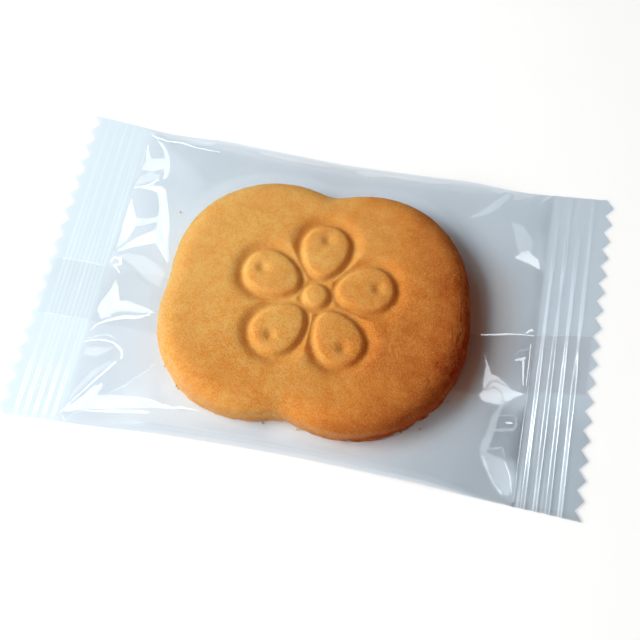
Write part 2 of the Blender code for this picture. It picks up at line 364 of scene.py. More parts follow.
# The creases by the seal at -X, from the far corner to the near one, then those by the other seal.
# Their points were picked by eye on the photograph's highlights, and a separate program worked out
# where they lie on the film.
CREASES = (
    Crease(Glint.WINDOW, ((-35.0, 24.7, 0.10), (-33.9, 21.4, 0.20), (-33.2, 19.7, 0.41))),
    Crease(Glint.WINDOW, ((-34.1, 18.1, 0.16), (-33.2, 18.7, 0.65), (-31.8, 18.9, 0.81),
                          (-30.5, 19.1, 0.65), (-29.5, 19.0, 0.33))),
    Crease(Glint.WINDOW, ((-34.4, 25.6, 0.10), (-32.2, 23.3, 0.16), (-30.5, 21.4, 0.24),
                          (-29.6, 19.4, 0.33), (-29.4, 17.8, 0.41), (-29.4, 16.4, 0.24))),
    Crease(Glint.WINDOW, ((-34.5, 14.7, 0.10), (-32.0, 14.7, 0.16), (-30.9, 15.4, 0.30),
                          (-30.4, 16.2, 0.16))),
    Crease(Glint.WINDOW_SIDE, ((-34.6, 15.1, 0.16), (-33.6, 16.1, 0.65), (-32.2, 16.7, 0.81),
                               (-30.7, 16.7, 0.33))),
    Crease(Glint.WINDOW, ((-34.6, 14.3, 0.08), (-32.5, 14.4, 0.16), (-30.9, 14.1, 0.33),
                          (-29.4, 13.6, 0.49), (-28.7, 12.7, 0.57), (-27.9, 10.6, 0.57),
                          (-27.2, 8.4, 0.73), (-26.9, 5.8, 1.06), (-26.1, 3.5, 0.73),
                          (-24.4, 0.8, 0.36), (-22.8, -1.6, 0.10))),
    Crease(Glint.WINDOW, ((-34.6, 12.7, 0.08), (-34.0, 10.8, 0.33), (-33.7, 9.1, 0.73),
                          (-33.5, 7.6, 1.06), (-33.9, 6.0, 1.06), (-34.3, 4.5, 0.65),
                          (-34.6, 3.1, 0.13))),
    Crease(Glint.WINDOW, ((-33.1, 8.3, 0.49), (-31.3, 7.8, 0.46), (-29.4, 7.8, 0.36),
                          (-28.0, 8.2, 0.33))),
    Crease(Glint.WINDOW, ((-34.3, 2.3, 0.08), (-33.0, 3.0, 0.28), (-31.4, 3.8, 0.52),
                          (-29.7, 4.4, 0.73), (-28.0, 5.0, 0.89))),
    Crease(Glint.WINDOW, ((-34.7, 0.4, 0.13), (-34.3, 1.3, 0.15), (-32.9, 0.9, 0.29),
                          (-32.6, 0.0, 0.29), (-33.8, -0.4, 0.16), (-33.2, -0.8, 0.16),
                          (-32.2, -1.8, 0.10))),
    Crease(Glint.WINDOW_SIDE, ((-34.0, 1.5, 0.16), (-31.9, 1.3, 0.70), (-29.0, 0.1, 1.20),
                               (-26.0, -2.0, 1.45), (-23.1, -4.2, 0.80), (-22.0, -5.2, 0.33)), 0.9),
    Crease(Glint.WINDOW, ((-32.4, -3.1, 0.08), (-32.2, -4.8, 0.52), (-32.3, -6.5, 1.06),
                          (-32.7, -7.9, 1.22), (-33.2, -9.3, 0.33))),
    Crease(Glint.WINDOW, ((-31.8, -7.9, 0.65), (-29.7, -7.5, 0.65), (-27.8, -7.8, 0.52),
                          (-25.4, -8.4, 0.29), (-23.1, -9.1, 0.13))),
    Crease(Glint.WINDOW, ((-34.4, -11.8, 0.08), (-33.6, -10.7, 0.16), (-31.8, -9.9, 0.28),
                          (-29.3, -9.4, 0.36), (-26.7, -9.5, 0.36), (-24.6, -9.1, 0.10))),
    Crease(Glint.WINDOW, ((-35.1, -13.9, 0.08), (-33.4, -13.5, 0.15), (-31.6, -13.5, 0.16),
                          (-29.8, -13.8, 0.18), (-28.4, -14.7, 0.24), (-27.6, -15.6, 0.29),
                          (-27.4, -16.7, 0.11))),
    Crease(Glint.WINDOW_SIDE, ((-34.5, -13.3, 0.10), (-32.5, -12.7, 0.15), (-30.9, -12.6, 0.15),
                               (-29.1, -13.5, 0.10))),
    Crease(Glint.WINDOW_SIDE, ((-35.0, -15.9, 0.24), (-34.2, -15.4, 0.73), (-32.2, -15.5, 0.89),
                               (-30.5, -15.1, 0.49), (-29.5, -14.7, 0.16)), 0.9),
    Crease(Glint.WINDOW, ((-35.3, -25.7, 0.08), (-34.1, -24.0, 0.10), (-32.4, -22.0, 0.15),
                          (-30.9, -20.1, 0.20), (-29.6, -18.6, 0.26), (-28.3, -17.2, 0.18))),
    Crease(Glint.WINDOW_SIDE, ((-35.2, -25.0, 0.10), (-33.8, -22.1, 0.49), (-31.8, -19.3, 0.57),
                               (-29.9, -17.6, 0.41), (-28.4, -17.0, 0.16)), 0.9),
    Crease(Glint.WINDOW, ((-35.5, -25.8, 0.08), (-33.4, -24.3, 0.20), (-31.7, -23.0, 0.39),
                          (-30.5, -21.8, 0.49), (-29.5, -20.9, 0.11))),
    Crease(Glint.WINDOW, ((-35.5, -25.8, 0.08), (-32.5, -24.7, 0.23), (-30.0, -23.8, 0.70),
                          (-27.6, -23.4, 0.73), (-24.5, -23.1, 0.59), (-21.3, -22.9, 0.39),
                          (-18.1, -23.0, 0.10), (-14.9, -22.8, 0.08), (-11.1, -22.6, 0.05))),
    Crease(Glint.WINDOW, ((-31.4, -25.1, 0.08), (-28.9, -24.9, 0.20), (-26.6, -24.6, 0.31),
                          (-24.2, -24.4, 0.33), (-22.0, -24.2, 0.29), (-20.9, -24.2, 0.11))),
    Crease(Glint.WINDOW, ((-33.8, 24.8, 0.08), (-32.5, 24.1, 0.10), (-30.9, 23.6, 0.11),
                          (-28.4, 23.8, 0.12), (-27.7, 23.6, 0.21), (-26.3, 23.0, 0.10),
                          (-23.2, 22.3, 0.09), (-20.9, 22.0, 0.07))),
    Crease(Glint.LAMP_SIDE, ((28.7, 19.0, 0.16), (30.2, 18.0, 0.81), (31.2, 16.3, 1.14),
                             (31.5, 14.8, 0.81))),
    Crease(Glint.LAMP, ((30.0, 13.3, 0.16), (31.0, 13.6, 0.52), (32.2, 13.9, 0.75),
                        (33.3, 13.5, 0.68), (34.4, 12.7, 0.16))),
    Crease(Glint.LAMP, ((26.1, -2.5, 0.11), (28.4, -1.5, 0.20), (30.9, -0.4, 0.16), (34.9, 1.0, 0.10))),
    Crease(Glint.LAMP, ((33.5, 0.8, 0.13), (34.0, 1.5, 0.29), (34.6, 1.9, 0.29))),
    Crease(Glint.LAMP_SIDE, ((32.1, -3.5, 0.10), (32.8, -2.4, 0.16), (34.4, -1.5, 0.16))),
    Crease(Glint.LAMP, ((32.2, -4.3, 0.16), (33.1, -3.8, 0.31), (34.0, -3.2, 0.26))),
    Crease(Glint.LAMP, ((33.6, -3.8, 0.29), (33.8, -5.5, 0.23), (34.1, -7.8, 0.11))),
    Crease(Glint.LAMP, ((34.5, -0.6, 0.10), (34.6, -4.1, 0.13), (34.6, -7.6, 0.10))),
    Crease(Glint.LAMP, ((27.0, -4.7, 0.08), (27.9, -6.6, 0.26), (28.5, -8.8, 0.65),
                        (29.3, -9.4, 1.30), (30.1, -10.1, 1.54), (30.7, -10.7, 1.14))),
    Crease(Glint.LAMP, ((30.1, -10.4, 1.30), (31.6, -10.2, 0.89), (32.9, -9.8, 0.49),
                        (34.3, -9.3, 0.11))),
    Crease(Glint.LAMP, ((27.4, -11.5, 0.16), (28.4, -11.4, 0.73), (29.7, -11.1, 0.98))),
    Crease(Glint.LAMP_SIDE, ((31.4, -11.7, 0.16), (30.8, -13.0, 0.26), (30.3, -14.3, 0.39),
                             (30.1, -15.8, 0.42), (29.9, -17.1, 0.42), (29.5, -18.5, 0.46),
                             (29.3, -19.7, 0.36))),
    Crease(Glint.LAMP_SIDE, ((30.5, -14.0, 0.13), (31.9, -13.5, 0.16), (33.5, -13.0, 0.13))),
    Crease(Glint.LAMP_SIDE, ((30.4, -16.3, 0.20), (31.9, -15.8, 0.36), (33.4, -15.2, 0.31),
                             (33.9, -14.3, 0.24), (33.6, -13.2, 0.20))),
    Crease(Glint.LAMP, ((32.1, -14.6, 0.16), (32.7, -14.4, 0.29), (33.3, -14.3, 0.16))),
    Crease(Glint.LAMP_SIDE, ((29.7, -19.4, 0.20), (31.1, -18.9, 0.21), (32.1, -18.5, 0.26),
                             (32.8, -19.8, 0.11))),
    Crease(Glint.LAMP, ((29.4, -20.6, 0.20), (30.2, -21.4, 0.52), (31.0, -22.5, 0.55),
                        (32.0, -24.1, 0.49), (33.1, -25.6, 0.13)), 0.6),
    Crease(Glint.LAMP_SIDE, ((30.2, -20.5, 0.49), (31.9, -21.6, 1.14), (33.0, -23.2, 1.14),
                             (33.7, -24.8, 0.49)), 0.6),
    Crease(Glint.LAMP, ((32.8, -20.4, 0.08), (33.8, -22.3, 0.13), (34.5, -24.7, 0.08))),
    Crease(Glint.LAMP_SIDE, ((21.8, 17.6, 0.16), (24.0, 19.5, 0.41), (25.9, 22.0, 0.52),
                             (27.6, 24.5, 0.39)), 0.6),
    Crease(Glint.LAMP_SIDE, ((33.0, 24.5, 0.16), (34.2, 26.2, 0.26), (35.1, 27.2, 0.16))),
)


# The edges of the back seam, where they show as fine lines.
SEAM_LINES = (
    Crease(Glint.LAMP_SIDE, ((34.9, 1.0, 0.08), (38.0, 1.6, 0.10), (41.0, 2.2, 0.08), (44.0, 2.7, 0.06))),
    Crease(Glint.LAMP_SIDE, ((35.0, -8.2, 0.06), (38.5, -7.8, 0.09), (43.5, -7.0, 0.06))),
    Crease(Glint.WINDOW_SIDE, ((-42.8, -0.4, 0.06), (-39.0, -0.3, 0.10), (-35.6, -0.4, 0.08))),
    Crease(Glint.WINDOW_SIDE, ((-42.8, -10.3, 0.06), (-39.0, -10.2, 0.10), (-35.6, -10.1, 0.08))),
)


@dataclass
class FilmTent:
    """The upper film between the seals, as heights over the plan.

    Each crease of the film wants a slope. The heights that come nearest to all the slopes, and
    clear the cookie, are found by relaxation on a grid of columns by rows.
    """

    pack: PackForm
    cookie: CookieForm
    creases: Sequence[Crease]
    columns: int = 280
    rows: int = 200
    seal_height: float = 0.32
    floor_height: float = 0.1
    cookie_gap: float = 0.38
    rim_inset: float = 1.9
    contact_inset: float = 3.4
    cling_reach: float = 2.2
    cling_shine: float = 0.0
    # Painted shadow: how far out from the cookie a brown shadow is painted into the film, and how fast it
    # fades.
    painted_shadow_reach: float = 2.15
    painted_shadow_fade: float = 0.75
    fold_shine: float = 0.45
    near_shine: Place = (0.4, 2.3)
    window_gap: float = 0.24
    sweeps: int = 500
    over_relaxation: float = 1.93
    low: Array = field(init=False)
    high: Array = field(init=False)
    xs: Array = field(init=False)
    heights: Array = field(init=False)
    slopes: tuple[Array, Array] = field(init=False)
    near_window: Array = field(init=False)

    def __post_init__(self) -> None:
        """Work out the heights."""
        self.xs = np.linspace(-self.pack.seal_inner, self.pack.seal_inner, self.columns + 1)
        fold = self.pack.fold(self.xs)
        self.low = self.pack.edge(self.xs, far=False) + fold
        self.high = self.pack.edge(self.xs, far=True) - fold
        x, y = self._plan()
        plain = self._plain_tent(x, y)
        self.slopes = self._wanted(x, y, plain)
        self.heights = self._relaxed(x, y, plain)

    def _plan(self) -> tuple[Array, Array]:
        """Return the grid's places."""
        share = np.linspace(0.0, 1.0, self.rows + 1)[None, :]
        x = np.repeat(self.xs[:, None], self.rows + 1, axis=1)
        return x, self.low[:, None] + (self.high - self.low)[:, None] * share

    def _over(self, x: Array, y: Array) -> Array:
        """Return the height of the film stretched over the cookie's top."""
        away, inset = self.cookie.polar(x, y)[1:]
        dome = self.cookie.dome_rise * (1 - (away / (away + inset)) ** 2)
        return self.cookie.crown_top - self.cookie.dome_rise + dome + self.cookie_gap

    def _edge_height(self, x: Array) -> Array:
        """Return the height of the film where it meets the folds."""
        share = smooth_step((self.pack.seal_inner - np.abs(x)) / self.pack.fold_ramp)
        at_fold = self.floor_height + 2 * self.pack.fold(x)
        return self.seal_height * (1 - share) + at_fold * share

    def _plain_tent(self, x: Array, y: Array) -> Array:
        """Return the even tent from the cookie's rim down to the seals and folds."""
        angle, away, inset = self.cookie.polar(x, y)
        rim = away + inset - self.rim_inset
        up = y - self.cookie.middle[1]
        edge = np.where(up > 0, self.pack.edge(x, far=True), -self.pack.edge(x, far=False))
        to_edge = edge - np.sign(up) * self.cookie.middle[1]
        to_edge = to_edge / np.maximum(np.abs(np.sin(angle)), 1e-6)
        to_seal = self.pack.seal_inner - np.sign(np.cos(angle)) * self.cookie.middle[0]
        to_seal = to_seal / np.maximum(np.abs(np.cos(angle)), 1e-6)
        nearest = -0.8 * np.logaddexp(-to_edge / 0.8, -to_seal / 0.8)
        share = np.clip((away - rim) / (nearest - rim), 0.0, 1.0)
        low = self._edge_height(x)
        rim_x = self.cookie.middle[0] + rim * np.cos(angle)
        rim_y = self.cookie.middle[1] + rim * np.sin(angle)
        top = self._over(rim_x, rim_y)
        tent = low + (top - low) * (1 - share - 0.03 * np.sin(math.tau * share))
        return np.where(inset > self.rim_inset, self._over(x, y), tent)

    def _slopes_of(self, height: Array) -> tuple[Array, Array]:
        """Return the slopes of heights on the grid, along X and along Y."""
        across = np.gradient(height, axis=1) / ((self.high - self.low) / self.rows)[:, None]
        middle = np.gradient(height, axis=0) / (self.xs[1] - self.xs[0])
        y = self._plan()[1]
        shift = np.gradient(y, axis=0) / (self.xs[1] - self.xs[0])
        return middle - across * shift, across

    def _wanted(self, x: Array, y: Array, plain: Array) -> tuple[Array, Array]:
        """Return the slopes that the creased film wants."""
        along, across = self._slopes_of(plain)
        wave = Unevenness(11)
        loose = smooth_step(1.0 - self.cookie.polar(x, y)[2] / self.rim_inset)
        along = along + loose * (0.05 * wave.at(x, y, 0.0, 4.0) + 0.03 * wave.at(x, y, 3.0, 1.7))
        across = across + loose * (0.05 * wave.at(x, y, 7.0, 4.0) + 0.03 * wave.at(x, y, 9.0, 1.7))
        along, across = self._beside_window(x, y, along, across)
        beside = smooth_step(1.0 - self.cookie.polar(x, y)[2])
        for crease in self.creases:
            cover = crease.cover(x, y) * beside
            slope_x, slope_y = crease.glint.slope(x, y)
            along = along + (slope_x - along) * cover
            across = across + (slope_y - across) * cover
        return along, across

    def _beside_window(self, x: Array, y: Array, along: Array, across: Array) -> tuple[Array, Array]:
        """Turn the slopes of the even film so that only its creases mirror the window."""
        slope_x, slope_y = Glint.WINDOW.slope(x, y)
        gap = np.maximum(np.hypot(along - slope_x, across - slope_y), 1e-3)
        push = np.maximum(self.window_gap / gap, 1.0)
        self.near_window = 1 - smooth_step(gap / (1.5 * self.window_gap))
        return slope_x + (along - slope_x) * push, slope_y + (across - slope_y) * push

    def _relaxed(self, x: Array, y: Array, plain: Array) -> Array:
        """Return the heights that follow the wanted slopes."""
        along, across = self.slopes
        step_x = self.xs[1] - self.xs[0]
        step_y = ((self.high - self.low) / self.rows)[:, None]
        shift = np.diff(y, axis=0)
        rise_x = (along[1:] + along[:-1]) / 2 * step_x + (across[1:] + across[:-1]) / 2 * shift
        rise_y = (across[:, 1:] + across[:, :-1]) / 2 * step_y
        inset = self.cookie.polar(x, y)[2]
        fixed = inset > self.contact_inset
        fixed[[0, -1]] = True
        fixed[:, [0, -1]] = True
        over = np.where(inset > 0, self.cookie.plain_crown(x, y) + self.cookie_gap, 0.0)
        height = np.where(fixed, plain, np.maximum(plain, over))
        hold_x, hold_y = np.ones_like(rise_x), np.ones_like(rise_y)
        for crease in self.creases:
            cover = crease.cover(x, y) * crease.hold
            hold_x += np.minimum(cover[1:], cover[:-1])
            hold_y += np.minimum(cover[:, 1:], cover[:, :-1])
        weight = np.zeros_like(height)
        weight[:-1] += hold_x
        weight[1:] += hold_x
        weight[:, :-1] += hold_y
        weight[:, 1:] += hold_y
        odd = (np.add.outer(np.arange(x.shape[0]), np.arange(x.shape[1])) % 2).astype(bool)
        for _ in range(self.sweeps):
            for turn in (odd, ~odd):
                pull = np.zeros_like(height)
                pull[:-1] += hold_x * (height[1:] - rise_x)
                pull[1:] += hold_x * (height[:-1] + rise_x)
                pull[:, :-1] += hold_y * (height[:, 1:] - rise_y)
                pull[:, 1:] += hold_y * (height[:, :-1] + rise_y)
                wanted = height + self.over_relaxation * (pull / weight - height)
                height = np.where(turn & ~fixed, np.maximum(wanted, over), height)
        return height

    def _lookup(self, table: Array, x: Array, y: Array) -> Array:
        """Return a table's values at places, taken between its grid points."""
        column = np.clip((x - self.xs[0]) / (self.xs[1] - self.xs[0]), 0, self.columns - 1e-6)
        left = column.astype(int)
        part = column - left
        low = self.low[left] * (1 - part) + self.low[left + 1] * part
        high = self.high[left] * (1 - part) + self.high[left + 1] * part
        row = np.clip((y - low) / (high - low) * self.rows, 0, self.rows - 1e-6)
        under = row.astype(int)
        rise = row - under
        first = table[left, under] * (1 - rise) + table[left, under + 1] * rise
        second = table[left + 1, under] * (1 - rise) + table[left + 1, under + 1] * rise
        return first * (1 - part) + second * part

    def height(self, x: Array, y: Array) -> Array:
        """Return the height of the film at places between the seals."""
        return self._lookup(self.heights, x, y)

    def dullness(self, x: Array, y: Array) -> Array:
        """Return how little the film mirrors at places: 1 is nothing, below 0 more than usual.

        It is dull where it clings to the buttery cookie, in the soft edges of its creases and
        towards the near left corner. Towards the near right corner it mirrors more. These shares
        match the photograph from its own side. They aren't measured from any film.

        Args:
            x: Places along the pack.
            y: Places across it.

        Returns:
            The shares of the mirror that are missing.
        """
        inset = self.cookie.polar(x, y)[2]
        shine = 1 - (1 - self.cling_shine) * smooth_step((inset + self.cling_reach) / 1.6)
        edges = (y - self.pack.edge(x, far=True), self.pack.edge(x, far=False) - y)
        folded = np.maximum(*edges) + self.pack.fold(x)
        shine = shine * (1 - (1 - self.fold_shine) * smooth_step(folded / 0.5 + 0.5))
        shine = shine * (1 - 0.9 * self._lookup(self.near_window, x, y))
        near_left = smooth_step((-20.0 - x) / 12.0) * smooth_step((2.0 - y) / 12.0)
        near_right = smooth_step((x - 10.0) / 12.0) * smooth_step((-6.0 - y) / 10.0)
        for shine_there, share in zip(self.near_shine, (near_left, near_right)):
            shine = shine * (1 + (shine_there - 1) * share)
        beside = smooth_step(-inset / 0.8)
        streak = 0.85 + 0.4 * Unevenness(17).at(x, y, 0.0, 2.2)
        for crease in self.creases:
            cover = crease.cover(x, y) * beside
            full = crease.glint.shine * (0.2 + 0.8 * smooth_step((cover - 0.6) / 0.4))
            if crease.glint is Glint.WINDOW:
                full = full * streak
            shine = shine + (full - shine) * smooth_step(cover / 0.6)
        return np.minimum(1 - shine, 1.0)

    def painted_shadow_share(self, x: Array, y: Array) -> Array:
        """Return how much painted brown shadow the film takes beside the cookie, most towards +X."""
        inset = self.cookie.polar(x, y)[2]
        reach = self.painted_shadow_reach * smooth_step((13.0 - y) / 7.0)
        near = np.exp(-np.maximum(-inset - reach, 0.0) / self.painted_shadow_fade)
        near = near * smooth_step((x + 2.0) / 14.0) * smooth_step((16.0 - y) / 6.0)
        return near * smooth_step((1.2 - inset) / 0.6) * (1 - 0.85 * smooth_step((-9.0 - y) / 7.0))

    def normals(self, places: Array, plain: Array) -> Array:
        """Return the film's normals between the seals, with the wanted slopes.

        Args:
            places: The upper film's places.
            plain: The mesh's own normals there.

        Returns:
            Unit normals.
        """
        x, y = places[:, 0], places[:, 1]
        fold = self.pack.fold(x)
        inside = smooth_step((self.pack.seal_inner - np.abs(x)) / 0.7)
        inside = inside * smooth_step((self.pack.edge(x, far=True) - fold - y) / 0.7)
        inside = inside * smooth_step((y - self.pack.edge(x, far=False) - fold) / 0.7)
        along, across = (self._lookup(table, x, y) for table in self.slopes)
        wanted = np.stack([-along, -across, np.ones_like(x)], 1)
        wanted /= np.linalg.norm(wanted, axis=1)[:, None]
        mixed = plain + (wanted - plain) * inside[:, None]
        return mixed / np.linalg.norm(mixed, axis=1)[:, None]

    def section(self, x: float, count: int) -> Array:
        """Return the upper film's section at a place along the pack.

        Args:
            x: The place, inside the seals.
            count: How many points to return.

        Returns:
            The section's (y, z) points from the far fold's underside to the near one's.
        """
        column = (x - self.xs[0]) / (self.xs[1] - self.xs[0])
        left = min(int(column), self.columns - 1)
        part = column - left
        heights = self.heights[left] * (1 - part) + self.heights[left + 1] * part
        low = self.low[left] * (1 - part) + self.low[left + 1] * part
        high = self.high[left] * (1 - part) + self.high[left + 1] * part
        ys = np.linspace(low, high, self.rows + 1)[::-1]
        turn = np.linspace(-math.pi / 2, math.pi / 2, 24)[:-1]
        fold = float(self.pack.fold(np.array(x)))
        bottom = self.floor_height
        far_rise, near_rise = (heights[-1] - bottom) / 2, (heights[0] - bottom) / 2
        points = np.concatenate([
            np.stack([high + fold * np.cos(turn), bottom + far_rise * (1 + np.sin(turn))], 1),
            np.stack([ys, heights[::-1]], 1),
            np.stack([low - fold * np.cos(turn), bottom + near_rise * (1 + np.sin(turn))], 1)[::-1],
        ])
        away = np.concatenate([[0.0], np.cumsum(np.hypot(*np.diff(points, axis=0).T))])
        even = np.linspace(0.0, away[-1], count)
        return np.stack([np.interp(even, away, points[:, axis]) for axis in (0, 1)], 1)


# ---------------------------------------------------------------- modelling by operators

def deselect() -> None:
    """Leave edit mode's reach empty: nothing selected, nothing active."""
    bpy.ops.object.select_all(action="DESELECT")
    bpy.context.view_layer.objects.active = None


def activate(piece: bpy.types.Object) -> None:
    """Make a piece the only selected and active object."""
    deselect()
    piece.select_set(True)
    bpy.context.view_layer.objects.active = piece


def places_of(piece: bpy.types.Object) -> Array:
    """Return the piece's vertices, in millimetres."""
    flat = np.empty(len(piece.data.vertices) * 3)
    piece.data.vertices.foreach_get("co", flat)
    return flat.reshape(-1, 3) / MM


def set_places(piece: bpy.types.Object, places: Array) -> None:
    """Write the piece's vertices, given in millimetres."""
    piece.data.vertices.foreach_set("co", (np.asarray(places) * MM).ravel())
    piece.data.update()


def add_grid(name: str, columns: int, rows: int) -> tuple[bpy.types.Object, Array, Array]:
    """Add a unit grid as a new piece.

    Args:
        name: The piece's name.
        columns: Faces along X.
        rows: Faces along Y.

    Returns:
        The piece, and each vertex's column and row.
    """
    deselect()
    bpy.ops.mesh.primitive_grid_add(x_subdivisions=columns, y_subdivisions=rows, size=MM)
    piece = bpy.context.active_object
    piece.name = name
    piece.data.name = name
    places = places_of(piece)
    column = np.rint((places[:, 0] + 0.5) * columns).astype(int)
    row = np.rint((places[:, 1] + 0.5) * rows).astype(int)
    return piece, column, row


def extrude_rim(piece: bpy.types.Object, place: Callable[[Array], Array]) -> None:
    """Extrude the open rim once and put the new rim where it belongs.

    Args:
        piece: The piece, with one open rim selected in edit mode's edges.
        place: Gives the new rim's places from the old ones, in millimetres.
    """
    bpy.ops.object.mode_set(mode="EDIT")
    bpy.ops.mesh.extrude_edges_move()
    bpy.ops.object.mode_set(mode="OBJECT")
    chosen = np.empty(len(piece.data.vertices), bool)
    piece.data.vertices.foreach_get("select", chosen)
    places = places_of(piece)
    places[chosen] = place(places[chosen])
    set_places(piece, places)


def select_rim(piece: bpy.types.Object) -> None:
    """Select the open rim's edges."""
    activate(piece)
    bpy.ops.object.mode_set(mode="EDIT")
    bpy.ops.mesh.select_mode(type="EDGE")
    bpy.ops.mesh.select_all(action="DESELECT")
    bpy.ops.mesh.select_non_manifold(extend=False, use_wire=False, use_boundary=True,
                                     use_multi_face=False, use_non_contiguous=False, use_verts=False)
    bpy.ops.object.mode_set(mode="OBJECT")


def tidy_mesh(piece: bpy.types.Object, merge: float = 0.0) -> None:
    """Merge doubles where asked, turn the faces outwards and shade them smooth."""
    activate(piece)
    bpy.ops.object.mode_set(mode="EDIT")
    bpy.ops.mesh.select_all(action="SELECT")
    if merge:
        bpy.ops.mesh.remove_doubles(threshold=merge * MM)
    bpy.ops.mesh.normals_make_consistent(inside=False)
    bpy.ops.object.mode_set(mode="OBJECT")
    bpy.ops.object.shade_smooth()


def add_attribute(piece: bpy.types.Object, name: str, values: Array) -> None:
    """Store a value for each vertex."""
    layer = piece.data.attributes.new(name, "FLOAT", "POINT")
    layer.data.foreach_set("value", np.asarray(values, np.float32))


def hand_over(piece: bpy.types.Object, node: Node, slot: Slot, finish: bpy.types.Material) -> None:
    """Dress a piece and tie it to the frame.

    Args:
        piece: The finished piece.
        node: The CAD node that it stands for.
        slot: The record's slot that its finish comes from. It is not used.
        finish: Its material.
    """
    piece.data.materials.clear()
    piece.data.materials.append(finish)
    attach(piece, BODY)
    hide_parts(node.value)
    LOG.info("%s: %d faces, for %s", piece.name, len(piece.data.polygons), node.value)


# ---------------------------------------------------------------- finishes

class Tree:
    """A node tree with short ways to add and join nodes."""

    def __init__(self, tree: bpy.types.NodeTree) -> None:
        """Hold the tree."""
        self.tree = tree

    def add(self, kind: str, values: dict[str | int, object] | None = None,
            **settings: object) -> bpy.types.Node:
        """Add a node.

        Args:
            kind: The node's type.
            values: Plain values or sockets for its inputs, by name or number.
            **settings: The node's own settings.

        Returns:
            The node.
        """
        node = self.tree.nodes.new(kind)
        for key, value in settings.items():
            setattr(node, key, value)
        self.fill(node, values or {})
        return node

    def fill(self, node: bpy.types.Node, values: dict[str | int, object]) -> None:
        """Give a node's inputs their plain values, or join them to sockets."""
        for key, value in values.items():
            if isinstance(value, bpy.types.NodeSocket):
                self.tree.links.new(value, node.inputs[key])
            else:
                node.inputs[key].default_value = value

    def attribute(self, name: str) -> bpy.types.NodeSocket:
        """Return a value that the mesh holds for each vertex."""
        return self.add("ShaderNodeAttribute", attribute_name=name).outputs["Fac"]

    def noise(self, place: bpy.types.NodeSocket, span: float, detail: float = 2.0,
              rough: float = 0.5) -> bpy.types.NodeSocket:
        """Return noise whose grains are a span in millimetres wide."""
        node = self.add("ShaderNodeTexNoise", {"Vector": place, "Scale": 1 / (span * MM),
                                               "Detail": detail, "Roughness": rough})
        return node.outputs["Fac"]

    def band(self, value: bpy.types.NodeSocket, low: float, high: float, start: float = 0.0,
             end: float = 1.0) -> bpy.types.NodeSocket:
        """Return the value mapped from one range onto another, and kept in it."""
        node = self.add("ShaderNodeMapRange", {"Value": value, "From Min": low, "From Max": high,
                                               "To Min": start, "To Max": end})
        return node.outputs["Result"]

    def math(self, operation: str, first: object, second: object = 0.0) -> bpy.types.NodeSocket:
        """Return the result of one sum."""
        return self.add("ShaderNodeMath", {0: first, 1: second}, operation=operation).outputs[0]

    def blend(self, share: object, first: object, second: object,
              mode: str = "MIX") -> bpy.types.NodeSocket:
        """Return two colours mixed."""
        node = self.add("ShaderNodeMix", data_type="RGBA", blend_type=mode)
        for index, value in ((0, share), (6, first), (7, second)):
            if isinstance(value, bpy.types.NodeSocket):
                self.tree.links.new(value, node.inputs[index])
            elif isinstance(value, tuple):
                node.inputs[index].default_value = (*value, 1.0)
            else:
                node.inputs[index].default_value = value
        return node.outputs[2]


def new_finish(name: str) -> tuple[bpy.types.Material, Tree, bpy.types.Node]:
    """Return an empty material, its tree and its Principled shader."""
    material = bpy.data.materials.new(name)
    material.use_nodes = True
    tree = Tree(material.node_tree)
    return material, tree, material.node_tree.nodes["Principled BSDF"]


